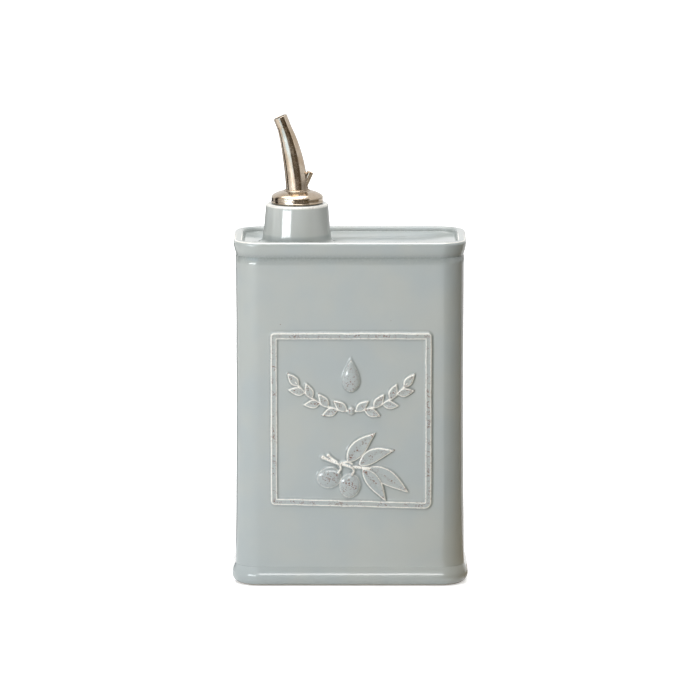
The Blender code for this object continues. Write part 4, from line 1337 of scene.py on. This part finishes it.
def solder_bead():
    """The bead's points and faces: a small ring laid along the joint, uneven like cooled solder."""
    columns, sides = 60, 10
    line = solder_line(columns)
    centre = sum(line) / columns
    places = []
    for index, spot in enumerate(line):
        ahead = line[(index + 1) % columns] - line[index - 1]
        ahead /= np.linalg.norm(ahead)
        outward = spot - centre
        outward -= ahead * float(np.dot(outward, ahead))
        outward /= np.linalg.norm(outward)
        upward = np.cross(ahead, outward)
        radius = SOLDER_RADIUS * (1 + 0.18 * math.sin(index * 0.7) * math.sin(index * 0.31))
        for turn in turns_round(sides):
            places.append(spot + (outward * math.cos(turn) + upward * math.sin(turn)) * radius)
    return places, ring_faces(columns, sides, True)


def finish_spout(spout):
    """Adds the solder to the drilled spout, with the grain read off each point's place."""
    places = [tuple(corner.co) for corner in spout.data.vertices]
    faces = [tuple(face.vertices) for face in spout.data.polygons]
    bead, bead_faces = solder_bead()
    faces += [tuple(spot + len(places) for spot in face) for face in bead_faces]
    places += [tuple(spot) for spot in bead]
    along, right, behind = in_bend(np.array(places))
    grain = np.column_stack((right, behind, along * GRAIN_PULL))
    made = new_piece("drilled_spout", places, faces, grain)
    made.data.set_sharp_from_angle(angle=math.radians(SHARP_DEGREES))
    bpy.data.objects.remove(spout, do_unlink=True)
    return made


plain_spout = make_spout()
drill_spout(plain_spout)
spout_piece = finish_spout(plain_spout)
spout_piece.data.materials.append(plated_steel)
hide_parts("spout_tube")
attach(spout_piece, "spout")


# The air pipe
# Thin drawn steel tube, soldered through the spout's wall. Air comes in by its slanted upper end
# and goes down inside the shank into the can.

PIPE_REACH = 0.0430
PIPE_COLUMNS = 40
PIPE_EDGE = 0.00012


def pipe_route():
    """(place, direction) pairs up the middle of the air pipe."""
    heights = np.linspace(NECK_TOP - PIPE_REACH, POURER_SEAT + PIPE_BEND_HEIGHT, 12)
    route = [(Vector((NECK_X + PIPE_OFFSET, 0, height)), Vector((0, 0, 1))) for height in heights]
    route += [on_pipe_bend(degrees) for degrees in np.linspace(0, PIPE_BEND_DEGREES, 9)[1:]]
    foot, slant = route[-1]
    lengths = np.linspace(0, PIPE_SLANT_LENGTH, 12)[1:]
    return route + [(foot + slant * along, slant) for along in lengths]


def make_pipe():
    """The tube's skin: up its outside, over the rounded upper end and down its bore."""
    route = pipe_route()
    edge, bore = PIPE_EDGE, PIPE_RADIUS - PIPE_WALL
    (foot, up), (mouth, slant) = route[0], route[-1]
    middle = [(foot + up * edge, up), *route[1:-1], (mouth - slant * edge, slant)]
    rings = [(foot, up, PIPE_RADIUS - edge)] + [(*spot, PIPE_RADIUS) for spot in middle]
    rings += [(mouth, slant, PIPE_RADIUS - edge), (mouth, slant, bore + edge)]
    rings += [(*spot, bore) for spot in reversed(middle)] + [(foot, up, bore + edge)]
    places, grain = [], []
    for place, direction, radius in rings:
        places += [place + offset for offset in circle_across(direction, radius, PIPE_COLUMNS)]
        for turn in turns_round(PIPE_COLUMNS):
            grain.append((radius * math.cos(turn), radius * math.sin(turn), place.z * GRAIN_PULL))
    return new_piece("air_pipe", places, ring_faces(len(rings), PIPE_COLUMNS, True), grain)


pipe_piece = make_pipe()
pipe_piece.data.materials.append(plated_steel)
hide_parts("breather_tube")
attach(pipe_piece, "spout")


# The studio
# A pale floor, a white surround and soft lamps, of which the low window at the front left is the
# strongest. Boards stand round the object, most of them seen by the gloss alone, and the camera is
# far off and a little above it.

MATT = {"Roughness": 1.0, "Specular IOR Level": 0.0}
FLOOR_HALF = 6.0
FLOOR_WHITE = (0.88, 0.88, 0.88, 1)
FLOOR_GLOW_SHARE_IN_GLOSS = 0.3
FLOOR_GLOW_NEAR = 0.3
FLOOR_GLOW_FAR = 1.1
BOARD_COLUMNS = 13
SURROUND_FILL = 0.06
CAMERA_AIM = Vector((0, 0, 0.1123))
CAMERA_DOWN = math.radians(9.5)
CAMERA_DISTANCE = 3.0
CAMERA_LENS = 314.6
CAMERA_SENSOR = 36


def polar(azimuth, distance, height):
    """A place round the object: azimuth 0 is in front of it, and 90 to its right."""
    turn = math.radians(azimuth)
    return Vector((distance * math.sin(turn), -distance * math.cos(turn), height))


def aimed(name, data, place, target):
    """Puts data on the set, with its local Z turned away from a target."""
    made = on_set(name, data)
    made.location = place
    made.rotation_euler = (Vector(place) - Vector(target)).to_track_quat("Z", "Y").to_euler()
    return made


def soft_lamp(name, place, target, size, radiance, tint, lights):
    """A rectangular lamp, unseen by the camera, that lights matt surfaces, gloss or both."""
    lamp = bpy.data.lights.new(name, "AREA")
    lamp.shape = "RECTANGLE"
    lamp.size, lamp.size_y = size
    lamp.energy = radiance * math.pi * size[0] * size[1]
    lamp.color = tint
    made = aimed(name, lamp, place, target)
    made.visible_camera = False
    made.visible_diffuse = lights != "gloss"
    made.visible_glossy = lights != "matt"


def make_floor():
    """A level floor that glows whiter away from the object, and less where gloss mirrors it."""
    mesh = bpy.data.meshes.new("studio_floor")
    corners = ((-1, -1), (1, -1), (1, 1), (-1, 1))
    places = [(FLOOR_HALF * x, FLOOR_HALF * y, 0) for x, y in corners]
    mesh.from_pydata(places, [], [(0, 1, 2, 3)])
    material, tree, shader = new_material("floor_paint")
    path = node(tree, "LightPath").outputs
    seen = math_of(tree, "MAXIMUM", path["Is Camera Ray"], path["Is Transmission Ray"])
    in_gloss = times(tree, path["Is Glossy Ray"], FLOOR_GLOW_SHARE_IN_GLOSS)
    seen = math_of(tree, "MAXIMUM", seen, in_gloss)
    place = node(tree, "TexCoord").outputs["Object"]
    away = node(tree, "VectorMath", {0: place}, operation="LENGTH").outputs["Value"]
    white = band(tree, away, FLOOR_GLOW_NEAR, FLOOR_GLOW_FAR, (0.5, 1.0))
    join(tree, shader, {
        **MATT,
        "Base Color": FLOOR_WHITE,
        "Emission Color": (1, 1, 1, 1),
        "Emission Strength": times(tree, seen, white),
    })
    mesh.materials.append(material)
    on_set("studio_floor", mesh)


def board(name, middle_x, rows, colour, diffuse, glow):
    """A curved board, unseen by the camera, through rows of (azimuths, distance, height)."""
    places, faces = [], []
    for azimuths, distance, height in rows:
        for turn in np.linspace(*azimuths, BOARD_COLUMNS):
            places.append(polar(turn, distance, height) + Vector((middle_x, 0, 0)))
    for row in range(len(rows) - 1):
        for corner in range(row * BOARD_COLUMNS, (row + 1) * BOARD_COLUMNS - 1):
            above = corner + BOARD_COLUMNS
            faces.append((corner, corner + 1, above + 1, above))
    mesh = bpy.data.meshes.new(name)
    mesh.from_pydata(places, [], faces)
    material, tree, shader = new_material(name)
    colours = {"Base Color": colour, "Emission Color": colour, "Emission Strength": glow}
    join(tree, shader, {**MATT, **colours})
    mesh.materials.append(material)
    made = on_set(name, mesh)
    made.visible_camera = False
    made.visible_shadow = False
    made.visible_diffuse = diffuse


make_floor()

LOW_MIDDLE = (0, 0, 0.1)
WHITE = (1.0, 1.0, 1.0)
LAMPS = (
    # name, place, target, (width, height), brightness, tint, what it lights
    ("window", polar(-38, 1.3, 0.19), (0, 0, 0.19), (0.74, 0.2), 13.6, (0.93, 0.97, 1.0), "both"),
    ("front_fill", polar(-12, 1.55, 0.6), LOW_MIDDLE, (0.95, 0.4), 1.15, WHITE, "both"),
    ("crest_strip", polar(4, 1.55, 0.53), (0, 0, 0.01), (0.85, 0.3), 6.5, WHITE, "gloss"),
    ("overhead", (-0.25, -0.2, 1.45), (-0.25, -0.2, 0), (1.3, 1.8), 4.1, WHITE, "both"),
    ("right_fill", polar(50, 1.2, 0.9), LOW_MIDDLE, (0.8, 0.8), 0.75, (1.0, 0.98, 0.95), "both"),
    ("back_lamp", polar(178, 1.4, 0.95), LOW_MIDDLE, (1.3, 0.6), 2.6, WHITE, "matt"),
    ("side_lamp", polar(128, 1.4, 0.6), LOW_MIDDLE, (0.6, 0.6), 2.4, (1.0, 0.99, 0.97), "matt"),
)
for lamp_values in LAMPS:
    soft_lamp(*lamp_values)

RIGHT_ROWS = (((30, 115), 0.064, 0.0004), ((30, 115), 0.22, 0.0004), ((30, 115), 0.22, 0.16))
LEFT_ROWS = (
    ((-150, -124), 0.10, 0.0004), ((-150, -124), 0.18, 0.0004), ((-150, -124), 0.18, 0.175),
)
SPOUT_ROWS = (((-12, 50), 0.24, 0.137), ((-16, 66), 0.24, 0.38))
STREAK_ROWS = (((-114, -92), 0.15, 0.15), ((-114, -92), 0.15, 0.32))
BLIND_ROWS = (((-58, -18), 0.12, 0.187), ((-58, -18), 0.12, 0.27))
BOARDS = (
    # name, its middle's x, rows, colour, whether matt surfaces see it too, glow
    ("right_board", 0, RIGHT_ROWS, (0.30, 0.25, 0.17, 1), True, 0.0),
    ("left_board", 0, LEFT_ROWS, (0.10, 0.11, 0.12, 1), False, 0.0),
    ("spout_board", NECK_X, SPOUT_ROWS, (0.15, 0.12, 0.08, 1), False, 0.0),
    ("streak_board", NECK_X, STREAK_ROWS, (0.04, 0.03, 0.022, 1), False, 0.0),
    ("window_blind", NECK_X, BLIND_ROWS, (0.56, 0.78, 1.0, 1), False, 1.3),
)
for board_values in BOARDS:
    board(*board_values)

surround = bpy.data.worlds.new("surround")
surround.use_nodes = True
sky = surround.node_tree
path = node(sky, "LightPath").outputs
sky_seen = math_of(sky, "MAXIMUM", path["Is Camera Ray"], path["Is Glossy Ray"])
sky_seen = math_of(sky, "MAXIMUM", sky_seen, path["Is Transmission Ray"])
sky_strength = band(sky, sky_seen, 0.0, 1.0, (SURROUND_FILL, 1.0))
join(sky, sky.nodes["Background"], {"Color": (1, 1, 1, 1), "Strength": sky_strength})
bpy.context.scene.world = surround

camera_data = bpy.data.cameras.new("camera")
camera_data.sensor_width = CAMERA_SENSOR
camera_data.lens = CAMERA_LENS
camera_back = Vector((0, -math.cos(CAMERA_DOWN), math.sin(CAMERA_DOWN))) * CAMERA_DISTANCE
bpy.context.scene.camera = aimed("camera", camera_data, CAMERA_AIM + camera_back, CAMERA_AIM)
bpy.context.scene.view_settings.view_transform = "Standard"
